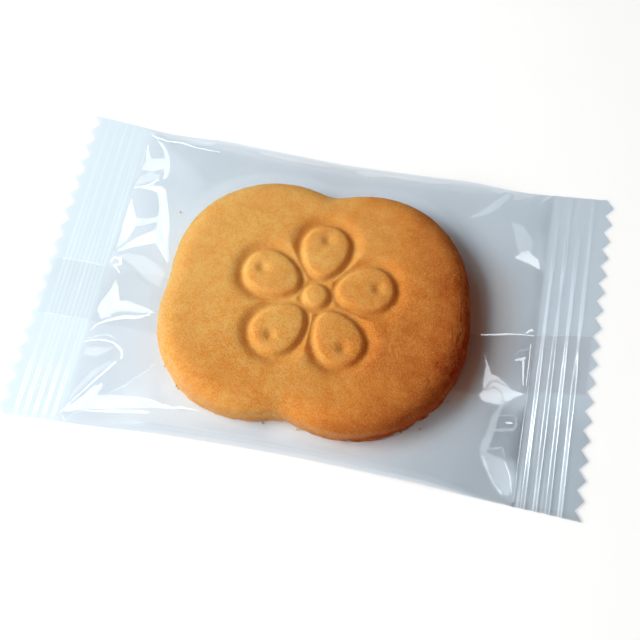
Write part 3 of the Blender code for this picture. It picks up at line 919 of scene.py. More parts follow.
@dataclass(frozen=True)
class BakedDough:
    """Short dough: pale gold on top, browner at the shoulder and foot, sandy all over."""

    pale: Colour = (0.83, 0.475, 0.134)
    gold: Colour = (0.71, 0.275, 0.054)
    brown: Colour = (0.34, 0.046, 0.003)
    # Painted shade: a darker olive tone that damps the window's glare on the rim towards -X.
    painted_rim_shade: Colour = (0.38, 0.285, 0.112)
    toast: Colour = (0.94, 0.74, 0.48)
    fleck: Colour = (0.88, 0.54, 0.20)
    crack: Colour = (0.27, 0.035, 0.005)
    side: Colour = (0.62, 0.36, 0.175)
    roughness: float = 0.8
    softness: float = 0.6

    def material(self) -> bpy.types.Material:
        """Return the material.

        It reads the attributes 'bake', from 0, pale, to 1, brown, which holds browning and also painted
        shade, 'painted_rim_shade', which is 1 where a darker olive tone is painted on the rim towards -X as
        shade against the window's glare, as seen from the camera's side, 'side', which is 1 on the paler
        near wall, 'crack', which is 1 where the dough has cracked, 'inset', how far in from the rim that
        is, and 'coarse', which is 1 where it is sandiest.

        Returns:
            The material.
        """
        material, tree, shader = new_finish("baked_dough")
        place = tree.add("ShaderNodeTexCoord").outputs["Object"]
        bake = tree.attribute("bake")
        split = tree.attribute("crack")
        coarse = tree.attribute("coarse")
        cloud = tree.noise(place, 6.0, 3.0, 0.6)
        patch = tree.noise(place, 1.6, 3.0, 0.65)
        grain = tree.noise(place, 0.30, 2.0, 0.6)
        sand = tree.noise(place, 0.24, 1.0, 0.5)
        parts = tree.add("ShaderNodeSeparateXYZ", {0: place})
        inset = tree.attribute("inset")
        along = tree.math("MULTIPLY", parts.outputs["Y"], 0.2)
        drawn = tree.add("ShaderNodeCombineXYZ", {0: tree.math("MULTIPLY", inset, MM), 1: along})
        wander = tree.noise(drawn.outputs[0], 0.9, 2.0, 0.5)
        line = tree.math("ABSOLUTE", tree.math("SUBTRACT", wander, 0.5))
        whole = tree.band(tree.noise(place, 2.4, 1.0, 0.5), 0.43, 0.50)
        split = tree.math("MULTIPLY", split, whole)
        split = tree.math("MULTIPLY", tree.band(line, 0.012, 0.045, 1.0, 0.0), split)
        level = tree.math("ADD", bake, tree.band(cloud, 0.3, 0.7, -0.07, 0.07))
        level = tree.math("ADD", level, tree.band(patch, 0.3, 0.7, -0.06, 0.06))
        warm = tree.blend(tree.band(level, 0.0, 0.5), self.pale, self.gold)
        warm = tree.blend(tree.band(level, 0.5, 1.0), warm, self.brown)
        # Painted shade: the olive tone darkens the lit rim towards -X.
        painted_rim_shade = tree.attribute("painted_rim_shade")
        warm = tree.blend(painted_rim_shade, warm, self.painted_rim_shade)
        side = tree.attribute("side")
        warm = tree.blend(tree.math("MULTIPLY", side, 0.4), warm, self.side)
        mottle = tree.math("ADD", tree.math("MULTIPLY", patch, 0.25), tree.math("MULTIPLY", grain, 0.75))
        depth = tree.band(coarse, 0.0, 1.0, 0.7, 1.0)
        toasted = tree.math("MULTIPLY", tree.band(mottle, 0.43, 0.60), depth)
        warm = tree.blend(toasted, warm, self.toast, "MULTIPLY")
        warm = tree.blend(tree.band(sand, 0.58, 0.70, 0.0, 0.22), warm, self.fleck)
        warm = tree.blend(tree.math("MULTIPLY", split, 0.8), warm, self.crack)
        tree.fill(shader, {"Base Color": warm, "Specular IOR Level": 0.08, "Roughness": self.roughness,
                           "Subsurface Weight": self.softness, "Subsurface Scale": 2.2 * MM,
                           "Subsurface Radius": (1.0, 0.4, 0.15)})
        height = tree.math("ADD", tree.math("MULTIPLY", patch, 0.6), tree.math("MULTIPLY", grain, 0.8))
        height = tree.math("ADD", height, tree.math("MULTIPLY", sand, 1.0))
        height = tree.math("MULTIPLY", height, tree.band(coarse, 0.0, 1.0, 0.28, 1.05))
        height = tree.math("SUBTRACT", height, tree.math("MULTIPLY", split, 0.4))
        bump = tree.add("ShaderNodeBump", {"Height": height, "Strength": 0.6, "Distance": 0.16 * MM})
        tree.fill(shader, {"Normal": bump.outputs["Normal"]})
        return material


@dataclass(frozen=True)
class ClearFilm:
    """Thin clear glossy film: both its sides mirror a little, and the rest goes through it."""

    name: str = "clear_film"
    tint: Colour = (0.893, 0.925, 0.952)
    # Painted light: the paler tint given where 'sealed' is 1, on the side towards -X.
    painted_light_tint: Colour = (0.912, 0.948, 0.969)
    mirror: float = 0.09
    sealed_mirror: float = 0.42
    # Painted shadow: the brown tint painted into the film beside the cookie.
    painted_brown_shadow: Colour = (0.975, 0.755, 0.64)
    gloss: Colour = (0.96, 0.985, 1.0)

    def material(self) -> bpy.types.Material:
        """Return the material.

        It reads the attributes 'sealed', which is 1 towards -X, where the film is rougher, mirrors less
        and takes a paler tint that is painted light, 'dull', which is 1 where the film mirrors nothing and
        below 0 where it mirrors more than usual, and 'painted_brown_shadow', which is 1 where a brown
        shadow beside the cookie is painted into its tint.

        Returns:
            The material.
        """
        material, tree, shader = new_finish(self.name)
        tree.fill(shader, {"Base Color": (*self.gloss, 1.0), "Metallic": 1.0})
        place = tree.add("ShaderNodeTexCoord").outputs["Object"]
        sealed = tree.attribute("sealed")
        haze = tree.noise(place, 2.5, 4.0, 0.6)
        dull = tree.attribute("dull")
        rough = tree.math("ADD", tree.band(haze, 0.3, 0.7, 0.02, 0.09), tree.math("MULTIPLY", sealed, 0.04))
        tree.fill(shader, {"Roughness": rough})
        facing = tree.add("ShaderNodeLayerWeight", {"Blend": 0.5}).outputs["Facing"]
        grazing = tree.math("MULTIPLY", tree.math("POWER", facing, 4.0), 1.0 - self.mirror)
        share = tree.math("ADD", grazing, self.mirror)
        share = tree.math("MULTIPLY", share, tree.math("SUBTRACT", 1.0, dull))
        share = tree.math("MULTIPLY", share, tree.band(sealed, 0.0, 1.0, 1.0, self.sealed_mirror))
        # Painted light: the film is paler where 'sealed' is 1, towards -X.
        tint = tree.blend(sealed, self.tint, self.painted_light_tint)
        # Painted shadow: a brown shadow beside the cookie is painted into the tint.
        painted_shadow_mask = tree.attribute("painted_brown_shadow")
        tint = tree.blend(painted_shadow_mask, tint, self.painted_brown_shadow, "MULTIPLY")
        clear = tree.add("ShaderNodeBsdfTransparent", {"Color": tint})
        either = tree.add("ShaderNodeMixShader", {0: share, 1: clear.outputs[0], 2: shader.outputs[0]})
        tree.fill(material.node_tree.nodes["Material Output"], {"Surface": either.outputs[0]})
        return material


@dataclass(frozen=True)
class StudioPaper:
    """The pale floor."""

    colour: Colour = (0.97, 0.975, 0.98)

    def material(self) -> bpy.types.Material:
        """Return the material."""
        material, tree, shader = new_finish("studio_paper")
        place = tree.add("ShaderNodeTexCoord").outputs["Object"]
        fibre = tree.noise(place, 8.0, 3.0, 0.5)
        lighter = tuple(min(channel * 1.02, 1.0) for channel in self.colour)
        shade = tree.blend(fibre, self.colour, lighter)
        tree.fill(shader, {"Base Color": shade, "Roughness": 0.9, "Specular IOR Level": 0.1})
        return material


# ---------------------------------------------------------------- the cookie

@dataclass
class Cookie:
    """The baked cookie: crown, shoulder, wall, rough foot and crumbs."""

    form: CookieForm
    finish: bpy.types.Material
    cells: int = 220
    crown_inset: float = 1.0
    shoulder_rings: int = 7
    wall_rings: int = 12
    base_height: float = 0.22
    wall_insets: tuple[float, ...] = (0.0, 0.06, 0.18, 0.30, 0.34, 0.22, 0.12, 0.20)
    base_rings: tuple[float, ...] = (0.985, 0.95, 0.86, 0.7, 0.45, 0.2)
    # Partly painted light: the dough is palest round this place on the lit upper left.
    palest_lit_place: Place = (-13.0, 3.0)

    def _rough(self, x: Array, y: Array, z: Array) -> tuple[Array, Array]:
        """Return the dough's unevenness at places.

        Args:
            x: Places along the pack.
            y: Places across it.
            z: Heights.

        Returns:
            A gentle swell for the crown, and a coarser one for the wall and foot.
        """
        swell = 0.06 * Unevenness(1).at(x, y, z, 7.0) + 0.015 * Unevenness(2).at(x, y, z, 2.6)
        fine = 0.015 * Unevenness(3).at(x, y, z, 0.9) + 0.012 * Unevenness(4).at(x, y, z, 0.45)
        coarse = 0.10 * Unevenness(5).at(x, y, z * 2.0, 2.2) + 0.09 * Unevenness(6).at(x, y, z * 2.5, 0.9)
        coarse = coarse + 0.05 * Unevenness(7).at(x, y, z * 2.5, 0.45)
        return swell + fine, coarse * (0.8 + 0.5 * smooth_step((x - 8.0) / 10.0))

    def _crown_places(self, column: Array, row: Array) -> Array:
        """Return the crown's vertices: a square grid drawn out to the outline."""
        u, v = 2 * column / self.cells - 1, 2 * row / self.cells - 1
        disc_x, disc_y = u * np.sqrt(1 - v * v / 2), v * np.sqrt(1 - u * u / 2)
        angle = np.arctan2(disc_y, disc_x)
        reach = np.minimum(np.hypot(disc_x, disc_y), 1.0) * (self.form.reach(angle) - self.crown_inset)
        x = self.form.middle[0] + reach * np.cos(angle)
        y = self.form.middle[1] + reach * np.sin(angle)
        z = self.form.crown(x, y)
        swell, coarse = self._rough(x, y, z)
        return np.stack([x, y, z + swell + 0.15 * coarse], 1)

    def _ring(self, inset: float, height: float | None, roughness: float) -> Callable[[Array], Array]:
        """Return the rule that places one ring of the shoulder, wall or foot."""
        def place(old: Array) -> Array:
            """Return the ring's places from those of the ring before it."""
            angle = self.form.polar(old[:, 0], old[:, 1])[0]
            reach = self.form.reach(angle) - inset
            x = self.form.middle[0] + reach * np.cos(angle)
            y = self.form.middle[1] + reach * np.sin(angle)
            z = self.form.plain_crown(x, y) if height is None else np.full(len(x), height)
            swell, coarse = self._rough(x, y, z)
            push = swell + roughness * coarse
            return np.stack([x + push * np.cos(angle), y + push * np.sin(angle),
                             z + (swell if height is None else 0.0)], 1)
        return place

    def _shrink(self, share: float) -> Callable[[Array], Array]:
        """Return the rule that draws a ring of the flat base towards the middle."""
        def place(old: Array) -> Array:
            """Return the ring's places from those of the ring before it."""
            middle = np.array([*self.form.middle, self.base_height])
            new = middle + (old - middle) * share
            new[:, 2] = self.base_height
            return new
        return place

    def _bake(self, places: Array) -> Array:
        """Return how brown the dough is at each vertex, from browning and from painted shade and light."""
        x, y, z = places.T
        inset = self.form.polar(x, y)[2]
        # Partly painted light and shade: the rim is paler towards -X, where the window lights it, and
        # browner towards +X.
        rim = np.exp(-np.maximum(inset, 0.0) / 2.6) * (-0.2 + 1.2 * smooth_step((x + 20.0) / 34.0))
        low = smooth_step((3.6 - z) / 3.4)
        motif = self.form.blossom.distance(x - self.form.middle[0], y - self.form.middle[1])
        # Partly painted shade: browner away from the lit upper left and towards +X and the near side, where
        # less light falls.
        side = 0.012 * np.hypot(x - self.palest_lit_place[0], y - self.palest_lit_place[1]) + 0.011 * np.maximum(x, 0.0)
        side = side + 0.010 * np.maximum(x - 7.0, 0.0) * smooth_step((2.0 - y) / 12.0)
        drift = 0.07 * Unevenness(8).at(x, y, z, 9.0) + 0.05 * Unevenness(9).at(x, y, z, 3.0)
        ring = 0.06 * np.exp(-((motif - 1.0) / 1.5) ** 2)
        # Painted highlight: a paler line along the shoulder's edge on the near side towards -X.
        edge = 0.06 * np.exp(-((z - 5.6) / 0.6) ** 2)
        edge = edge * smooth_step((2.0 - x) / 10.0) * smooth_step((2.0 - y) / 6.0)
        return np.clip(0.04 + 0.20 * rim + (0.12 + 0.008 * x) * low + side + drift + ring - edge, 0.0, 1.0)

    def _painted_rim_shade_share(self, places: Array) -> Array:
        """Return how much painted shade, a darker olive tone, each vertex takes on the rim towards -X."""
        x, y, z = places.T
        inset = self.form.polar(x, y)[2]
        side = 0.9 * smooth_step((-8.0 - x) / 10.0) * smooth_step((y + 17.0) / 9.0)
        return side * np.exp(-np.maximum(inset, 0.0) / 1.3) * smooth_step((z - 1.2) / 2.0)

    def _coarse(self, places: Array) -> Array:
        """Return how sandy the dough is at each vertex, most towards -Y."""
        x, y, _ = places.T
        return smooth_step((1.0 - y + 0.7 * np.maximum(x, 0.0)) / 12.0)

    def _side(self, places: Array) -> Array:
        """Return how far each vertex lies on the paler wall towards -Y."""
        x, y, z = places.T
        zone = smooth_step((-y - 1.0) / 8.0) * (1.0 - smooth_step((x - 6.0) / 10.0))
        top = 4.9 + 1.7 * smooth_step((-8.0 - x) / 10.0)
        return zone * smooth_step((top - z) / 0.6) * smooth_step((z - 0.5) / 0.8)

    def _cracked(self, places: Array) -> Array:
        """Return how far each vertex lies where the dough has cracked: by the rim towards +X."""
        x, y, z = places.T
        inset = self.form.polar(x, y)[2]
        zone = smooth_step((x - 12.0) / 3.0) * smooth_step((11.0 - y) / 4.0) * smooth_step((y + 15.0) / 4.0)
        inner = 2.2 + 2.0 * smooth_step((1.0 - y) / 5.0)
        return zone * smooth_step((inner - inset) / 0.8) * smooth_step((z - 0.8) / 0.8)

    def build(self) -> bpy.types.Object:
        """Model the cookie and tie it to its node."""
        piece, column, row = add_grid("cookie_baked", self.cells, self.cells)
        set_places(piece, self._crown_places(column, row))
        select_rim(piece)
        for ring in range(self.shoulder_rings):
            share = (ring + 1) / self.shoulder_rings
            extrude_rim(piece, self._ring(self.crown_inset * (1 - share) ** 2, None, share))
        top = self.form.wall_top
        for ring in range(self.wall_rings):
            share = (ring + 1) / self.wall_rings
            height = top + (self.base_height + 0.05 - top) * share
            inset = np.interp(share, np.linspace(0, 1, len(self.wall_insets)), self.wall_insets)
            extrude_rim(piece, self._ring(float(inset), height, 1.0 + 0.8 * share))
        extrude_rim(piece, self._ring(0.5, self.base_height, 1.0))
        for share in self.base_rings:
            extrude_rim(piece, self._shrink(share))
        bpy.ops.object.mode_set(mode="EDIT")
        bpy.ops.mesh.merge(type="CENTER")
        bpy.ops.object.mode_set(mode="OBJECT")
        tidy_mesh(piece)
        places = places_of(piece)
        # The 'bake' attribute holds browning and painted shade.
        add_attribute(piece, "bake", self._bake(places))
        add_attribute(piece, "crack", self._cracked(places))
        add_attribute(piece, "inset", self.form.polar(places[:, 0], places[:, 1])[2])
        # Painted shade on the rim towards -X.
        add_attribute(piece, "painted_rim_shade", self._painted_rim_shade_share(places))
        add_attribute(piece, "coarse", self._coarse(places))
        add_attribute(piece, "side", self._side(places))
        hand_over(piece, Node.COOKIE, Slot.DOUGH, self.finish)
        return piece


@dataclass
class Crumbs:
    """The loose crumbs round the foot, each given by its X, Y and radius.

    They lie near specks in the photograph, whose places a separate program worked out.
    """

    finish: bpy.types.Material
    floor: float = 0.13
    bake: float = 0.45
    spots: tuple[tuple[float, float, float], ...] = (
        (-25.85, 11.69, 0.17), (-24.55, 2.95, 0.22), (-21.3, -15.3, 0.15), (-18.75, -18.1, 0.22),
        (-18.4, -18.5, 0.14), (15.5, -19.3, 0.26), (16.7, -18.8, 0.20), (1.6, -21.1, 0.22),
        (1.1, -21.4, 0.13), (-4.3, -21.4, 0.13), (19.6, -17.6, 0.16), (23.1, -12.4, 0.15))

    def build(self) -> bpy.types.Object:
        """Model the crumbs as one piece and tie it to the cookie's node."""
        deselect()
        crumbs = []
        for x, y, radius in self.spots:
            bpy.ops.mesh.primitive_ico_sphere_add(subdivisions=3, radius=radius * MM)
            crumb = bpy.context.active_object
            places = places_of(crumb)
            noise = Unevenness(40).at(places[:, 0] + x, places[:, 1] + y, places[:, 2], radius * 1.1)
            lump = 1 + 0.5 * noise
            places = places * lump[:, None] * np.array([1.0, 1.0, 0.7])
            set_places(crumb, places + np.array([x, y, self.floor - places[:, 2].min()]))
            crumbs.append(crumb)
        for crumb in crumbs:
            crumb.select_set(True)
        bpy.ops.object.join()
        piece = bpy.context.active_object
        piece.name = "crumbs"
        tidy_mesh(piece)
        count = len(piece.data.vertices)
        add_attribute(piece, "bake", np.full(count, self.bake))
        add_attribute(piece, "crack", np.zeros(count))
        add_attribute(piece, "coarse", np.ones(count))
        add_attribute(piece, "side", np.zeros(count))
        hand_over(piece, Node.COOKIE, Slot.DOUGH, self.finish)
        return piece


# ---------------------------------------------------------------- the wrapper

@dataclass(frozen=True)
class Crimp:
    """The ridges of one end seal: how many, how far apart and how high."""

    ridges: int
    pitch: float
    start: float
    rise: float
    fade: float
    waver: float
    seed: int

    def height(self, depth: Array, y: Array) -> Array:
        """Return the ridges' height at a depth in from the tooth tips."""
        place = (depth - self.start) / self.pitch
        inside = (place > 0) & (place < self.ridges)
        wave = 0.5 - 0.5 * np.cos(math.tau * place)
        ridge = np.floor(place) * 37.0
        sag = 1 + self.waver * Unevenness(self.seed).at(y, ridge, 0.0, 8.0) - self.fade * y / 27.0
        return np.where(inside, self.rise * wave * sag, 0.0)

    def lie(self, depth: Array, y: Array) -> Array:
        """Return how far the whole seal lifts off its plane: a slow curl."""
        return 0.06 * (1 + Unevenness(self.seed + 1).at(y, depth * 0.6, 0.0, 9.0)) * np.ones_like(depth)


@dataclass
class Wrapper:
    """The pack's film: one tube, crimped and cut at both ends, and its back seam."""

    pack: PackForm
    tent: FilmTent
    finish: bpy.types.Material
    seam_finish: bpy.types.Material
    pleat_finish: bpy.types.Material
    crimps: tuple[Crimp, Crimp] = (Crimp(5, 1.5, 2.7, 0.19, 0.22, 0.3, 21),
                                    Crimp(4, 1.86, 2.9, 0.17, 0.35, 0.5, 31))
    seal_columns: int = 62
    tent_columns: int = 276
    half_teeth: int = 35
    rows_per_half_tooth: int = 6
    tooth_depth: float = 1.25
    tooth_reach: float = 2.2
    layer_gap: float = 0.14
    # Painted light: only the seal towards -X, on the window's side, takes the paler tint.
    seal_painted_light: Place = (1.0, 0.0)
    corner_lift: float = 0.10
    seam_width: float = 9.8
    seam_path: tuple[Place, ...] = (
        (-45.0, -5.3), (-34.0, -5.2), (18.0, -5.6), (27.0, -5.3), (35.0, -3.6), (45.0, -2.0))
    seam_drop: float = 0.1
    seam_rows: int = 14
    seam_floor: float = 0.045
    seam_end_columns: int = 8
    floor_ramp: float = 6.0
    pleats: Sequence[Crease] = ()
    pleat_lift: float = 0.03
    pleat_step: float = 0.25
    pleat_width: float = 0.7

    @property
    def upper_rows(self) -> int:
        """Return how many rows of faces the upper film has."""
        return self.half_teeth * self.rows_per_half_tooth

    def _stations(self) -> Array:
        """Return the X of every column, from tooth tips to tooth tips."""
        half, inner = self.pack.length / 2, self.pack.seal_inner
        left = np.linspace(-half, -inner, self.seal_columns + 1)[:-1]
        middle = np.linspace(-inner, inner, self.tent_columns + 1)
        return np.concatenate([left, middle, -left[::-1]])

    def _seal_height(self, x: Array, y: Array) -> Array:
        """Return the height of the upper layer in the end seals."""
        depth = self.pack.length / 2 - np.abs(x)
        height = np.full(np.broadcast(x, y).shape, self.tent.seal_height)
        for crimp, side in zip(self.crimps, (x < 0, x >= 0)):
            fade = smooth_step((self.pack.seal_depth - depth) / 1.2)
            height = height + np.where(side, (crimp.height(depth, y) + crimp.lie(depth, y)) * fade, 0.0)
        return height

    def _seal_normals(self, x: Array, y: Array, step: float = 0.02) -> Array:
        """Return the upper layer's normals in the end seals, from the slopes of its height."""
        along = (self._seal_height(x + step, y) - self._seal_height(x - step, y)) / (2 * step)
        across = (self._seal_height(x, y + step) - self._seal_height(x, y - step)) / (2 * step)
        across = across + self.corner_lift * (x < 0) * smooth_step((-1.0 - y) / 26.0)
        normals = np.stack([-along, -across, np.ones_like(x)], 1)
        return normals / np.linalg.norm(normals, axis=1)[:, None]

    def _tooth(self, x: Array, share: Array) -> Array:
        """Return how far a place in the teeth is drawn in from the tips."""
        zigzag = np.abs((share * self.half_teeth + (x < 0)) % 2 - 1)
        depth = self.pack.length / 2 - np.abs(x)
        return self.tooth_depth * zigzag * np.clip(1 - depth / self.tooth_reach, 0.0, 1.0)

    def _sealed_ring(self, x: float) -> Array:
        """Return the tube's ring at a place in an end seal."""
        upper = self.upper_rows
        share = np.concatenate([np.linspace(0, 1, upper + 1), np.linspace(1, 0, self.half_teeth + 1)[1:]])
        far, near = (float(self.pack.edge(np.array(x), far=side)) for side in (True, False))
        y = far + (near - far) * share
        z = self._seal_height(np.full(len(y), x), y)
        z[upper + 1:-1] -= self.layer_gap
        z[[0, upper, -1]] -= self.layer_gap / 2
        return np.stack([x - np.sign(x) * self._tooth(np.full(len(y), x), share), y, z], 1)

    def _tented_ring(self, x: float) -> Array:
        """Return the tube's ring at a place between the seals."""
        upper = self.upper_rows
        section = self.tent.section(x, upper + 1)
        back = np.linspace(section[-1, 0], section[0, 0], self.half_teeth + 1)[1:]
        share = float(smooth_step(np.array((self.pack.seal_inner - abs(x)) / self.floor_ramp)))
        under = self.tent.seal_height - self.layer_gap
        ring = np.zeros((upper + self.half_teeth + 1, 3))
        ring[:, 0] = x
        ring[:upper + 1, 1:] = section
        ring[upper + 1:, 1] = back
        ring[upper + 1:, 2] = under * (1 - share) + self.tent.floor_height * share
        ring[[0, upper], 2] = ring[upper + 1, 2] + self.layer_gap / 2 * (1 - share)
        ring[-1] = ring[0]
        return ring

    def _close_ends(self, piece: bpy.types.Object, column: Array, row: Array) -> None:
        """Close the narrow gap between the two layers at each tooth side, with one face each."""
        ends = {}
        for index in np.nonzero((column == 0) | (column == column.max()))[0]:
            ends[(column[index] > 0, row[index])] = int(index)
        cells = bmesh.new()
        cells.from_mesh(piece.data)
        cells.verts.ensure_lookup_table()
        last = self.upper_rows + self.half_teeth
        for end in (False, True):
            for half in range(self.half_teeth):
                first = half * self.rows_per_half_tooth
                rows = list(range(first, first + self.rows_per_half_tooth + 1))
                if half < self.half_teeth - 1:
                    rows.append(last - half - 1)
                if half > 0:
                    rows.append(last - half)
                cells.faces.new([cells.verts[ends[(end, place)]] for place in rows])
        cells.to_mesh(piece.data)
        cells.free()

    def build_tube(self) -> bpy.types.Object:
        """Model the tube of film and tie it to its node."""
        stations = self._stations()
        piece, column, row = add_grid("film_tube", len(stations) - 1, self.upper_rows + self.half_teeth)
        rings = [self._tented_ring(x) if abs(x) < self.pack.seal_inner else self._sealed_ring(x)
                 for x in stations]
        places = np.array(rings)[column, row]
        set_places(piece, places)
        above = row <= self.upper_rows
        add_attribute(piece, "upper", above)
        depth = self.pack.length / 2 - np.abs(stations[column])
        x, y = places[:, 0], places[:, 1]
        add_attribute(piece, "dull", np.where(above, self.tent.dullness(x, y), 0.0))
        # Painted shadow: a brown tint on the film beside the cookie, where its shadow falls.
        add_attribute(piece, "painted_brown_shadow", self.tent.painted_shadow_share(x, y))
        # Painted light: the seal towards -X, on the window's side, is made paler; the other is not.
        paler = np.where(stations[column] < 0, *self.seal_painted_light)
        add_attribute(piece, "sealed", paler * smooth_step((self.pack.seal_depth - depth) / 0.8 + 0.5))
        self._close_ends(piece, column, row)
        tidy_mesh(piece, merge=0.002)
        places = places_of(piece)
        normals = np.empty(len(places) * 3)
        piece.data.vertex_normals.foreach_get("vector", normals)
        normals = normals.reshape(-1, 3)
        upper = np.empty(len(places))
        piece.data.attributes["upper"].data.foreach_get("value", upper)
        sealed = np.abs(places[:, 0]) >= self.pack.seal_inner
        tented = (upper > 0.5) & ~sealed
        normals[tented] = self.tent.normals(places[tented], normals[tented])
        normals[sealed] = self._seal_normals(places[sealed, 0], places[sealed, 1])
        normals[sealed & (upper < 0.5)] *= -1.0
        piece.data.attributes.remove(piece.data.attributes["upper"])
        piece.data.normals_split_custom_set_from_vertices(normals.tolist())
        hand_over(piece, Node.WRAPPER, Slot.FILM, self.finish)
        return piece

    def _pleat(self, crease: Crease) -> tuple[Array, Array]:
        """Return a pleat's places, two by two along its spine, and the normals there."""
        spine = np.array(crease.spine)
        away = np.concatenate([[0.0], np.cumsum(np.hypot(*np.diff(spine[:, :2], axis=0).T))])
        even = np.linspace(0.0, away[-1], max(int(away[-1] / self.pleat_step), 6))
        x, y, half = (np.interp(even, away, spine[:, part]) for part in range(3))
        half = half * self.pleat_width
        along = np.stack([np.gradient(x), np.gradient(y)])
        aside = np.stack([-along[1], along[0]]) / np.linalg.norm(along, axis=0)
        slopes = np.stack(crease.glint.slope(x, y))
        base = np.where(np.abs(x) < self.pack.seal_inner, self.tent.height(x, y), self._seal_height(x, y))
        rise = (slopes * aside).sum(0) * half
        sides = [np.stack([x + aside[0] * half * side, y + aside[1] * half * side,
                           base + self.pleat_lift + np.abs(rise) + rise * side], 1) for side in (-1, 1)]
        normals = np.stack([-slopes[0], -slopes[1], np.ones_like(x)], 1)
        normals /= np.linalg.norm(normals, axis=1)[:, None]
        return np.stack(sides, 1), np.stack([normals, normals], 1)

    def build_pleats(self) -> bpy.types.Object:
        """Model the sharp pleats, narrow ribbons just over the film, and tie them to their node."""
        ribbons = [self._pleat(crease) for crease in self.pleats]
        places, normals = (np.concatenate(parts) for parts in zip(*ribbons))
        ends = np.cumsum([len(ribbon[0]) for ribbon in ribbons])[:-1] - 1
        piece, column, row = add_grid("film_pleats", len(places) - 1, 1)
        set_places(piece, places[column, row])
        cells = bmesh.new()
        cells.from_mesh(piece.data)
        bridges = [cell for cell in cells.faces
                   if min(column[corner.index] for corner in cell.verts) in ends]
        bmesh.ops.delete(cells, geom=bridges, context="FACES")
        cells.to_mesh(piece.data)
        cells.free()
        bpy.ops.object.shade_smooth()
        piece.data.normals_split_custom_set_from_vertices(normals[column, row].tolist())
        shine = np.concatenate([np.full(len(ribbon[0]), pleat.glint.shine)
                                for ribbon, pleat in zip(ribbons, self.pleats)])
        add_attribute(piece, "dull", 1 - shine[column])
        hand_over(piece, Node.WRAPPER, Slot.FILM, self.pleat_finish)
        return piece

    def build_seam(self) -> bpy.types.Object:
        """Model the flat back seam, a single leaf of film under the tube from end to end."""
        stations = self._stations()[self.seam_end_columns:-self.seam_end_columns]
        piece, column, row = add_grid("back_seam", len(stations) - 1, self.seam_rows)
        x = stations[column]
        middle = np.interp(x, *zip(*self.seam_path))
        y = middle + self.seam_width * (row / self.seam_rows - 0.5)
        inside = smooth_step((self.pack.seal_inner - np.abs(x)) / self.floor_ramp)
        under = self.tent.seal_height - self.layer_gap
        sealed = np.where(inside > 0, under, self._seal_height(x, y) - self.layer_gap) - self.seam_drop
        z = sealed * (1 - inside) + self.seam_floor * inside
        set_places(piece, np.stack([x, y, z], 1))
        # Painted light: the seam is paler towards -X, on the window's side.
        add_attribute(piece, "sealed", smooth_step((14.0 - x) / 28.0))
        tidy_mesh(piece)
        hand_over(piece, Node.WRAPPER, Slot.FILM, self.seam_finish)
        return piece


# ---------------------------------------------------------------- the studio

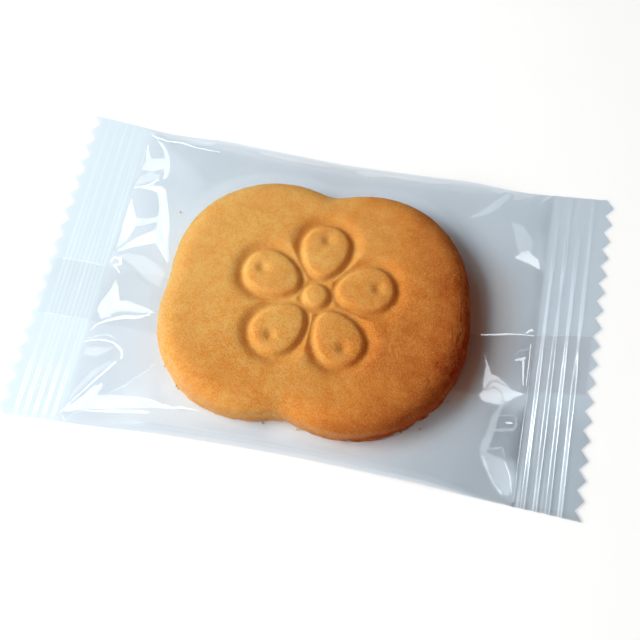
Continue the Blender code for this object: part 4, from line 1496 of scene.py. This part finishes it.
@dataclass(frozen=True)
class Studio:
    """The floor, the lights, the sky and the camera at the photograph's angle."""

    camera_target: tuple[float, float, float] = (0.981, -2.782, 0.0)
    camera_roll: float = math.radians(-0.815)
    focal_length: float = 56.25
    sensor: float = 36.0
    floor_size: float = 3.0
    lights: tuple[Light, ...] = (LEFT_WINDOW, RIGHT_LAMP, NEAR_WALL)
    sky: float = 0.094
    horizon: float = 0.4
    side_sky: float = 1.07
    sky_colour: Colour = (0.93, 0.965, 1.0)
    room_colour: Colour = (0.93, 0.96, 1.0)

    def build_floor(self, finish: bpy.types.Material) -> None:
        """Add the floor just under the pack."""
        deselect()
        bpy.ops.mesh.primitive_grid_add(x_subdivisions=8, y_subdivisions=8, size=self.floor_size)
        floor = bpy.context.active_object
        floor.name = "floor"
        floor.data.materials.append(finish)
        floor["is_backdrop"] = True

    def hang(self, light: Light) -> None:
        """Add a square area lamp that looks at the middle of the pack."""
        data = bpy.data.lights.new("lamp", "AREA")
        data.shape = "SQUARE"
        data.size = 2 * light.distance * MM * math.tan(light.half_angle)
        data.energy = light.radiance * math.pi * data.size ** 2
        data.color = light.colour
        lamp = bpy.data.objects.new("lamp", data)
        heading = Vector(light.heading())
        lamp.location = heading * light.distance * MM
        lamp.rotation_euler = (-heading).to_track_quat("-Z", "Y").to_euler()
        bpy.context.scene.collection.objects.link(lamp)

    def light(self) -> None:
        """Add the lamps and the sky, which is brighter at the left and round each lamp."""
        world = bpy.data.worlds.new("studio")
        bpy.context.scene.world = world
        world.use_nodes = True
        tree = Tree(world.node_tree)
        heading = tree.add("ShaderNodeTexCoord").outputs["Generated"]
        parts = tree.add("ShaderNodeSeparateXYZ", {0: heading})
        side = tree.band(parts.outputs["X"], -0.85, -0.45, 1.0, 0.0)
        dim = tuple(self.sky * part for part in self.room_colour)
        bright = tuple(self.side_sky * part for part in self.sky_colour)
        sky = tree.blend(side, dim, bright)
        glow = tuple(self.horizon * part for part in self.sky_colour)
        sky = tree.blend(tree.band(parts.outputs["Z"], 0.1, 0.4, 1.0, 0.0), sky, glow, "ADD")
        for light in self.lights:
            if light.radiance:
                self.hang(light)
            near = tree.add("ShaderNodeVectorMath", {0: heading, 1: tuple(light.heading())},
                            operation="DOT_PRODUCT").outputs["Value"]
            halo = tree.band(near, math.cos(light.halo_angle), math.cos(light.half_angle))
            glow = tuple(light.halo * part for part in light.colour)
            sky = tree.blend(halo, sky, glow, "ADD")
        tree.fill(world.node_tree.nodes["Background"], {"Color": sky})

    def shoot(self) -> None:
        """Add the camera and set plain display colours."""
        data = bpy.data.cameras.new("camera")
        data.lens = self.focal_length
        data.sensor_width = self.sensor
        data.clip_start = 0.01
        camera = bpy.data.objects.new("camera", data)
        place, target = Vector(EYE) * MM, Vector(self.camera_target) * MM
        turn = (target - place).to_track_quat("-Z", "Y").to_matrix()
        roll = Matrix.Rotation(self.camera_roll, 3, "Z")
        camera.location = place
        camera.rotation_euler = (turn @ roll).to_euler()
        bpy.context.scene.collection.objects.link(camera)
        bpy.context.scene.camera = camera
        bpy.context.scene.view_settings.view_transform = "Standard"


def write_sizes() -> None:
    """Gather the CAD model's box and the visual model's box, without keeping them."""
    boxes = {"cad": CAD_BOX, "visual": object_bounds()}
    {name: [list(corner) for corner in box] for name, box in boxes.items()}


def main() -> None:
    """Build the cookie, its pack and the studio."""
    logging.basicConfig(level=logging.INFO, format="%(name)s: %(message)s")
    low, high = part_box(Node.WRAPPER.value)
    pack = PackForm(length=(high[0] - low[0]) / MM)
    form = CookieForm()
    studio = Studio()
    studio.shoot()
    studio.build_floor(StudioPaper().material())
    studio.light()
    dough = BakedDough().material()
    Cookie(form, dough).build()
    Crumbs(dough).build()
    tent = FilmTent(pack, form, [crease for crease in CREASES if not crease.sharp])
    seam_film = ClearFilm("seam_film", (0.965, 0.95, 0.95), (0.985, 0.985, 0.985), 0.01)
    pleat_film = ClearFilm("pleat_film", (0.97, 0.98, 0.99), mirror=0.13)
    wrapper = Wrapper(pack, tent, ClearFilm().material(), seam_film.material(), pleat_film.material(),
                      pleats=[crease for crease in (*CREASES, *SEAM_LINES) if crease.sharp])
    wrapper.build_tube()
    wrapper.build_pleats()
    wrapper.build_seam()
    deselect()
    write_sizes()


if __name__ == "__main__":
    main()
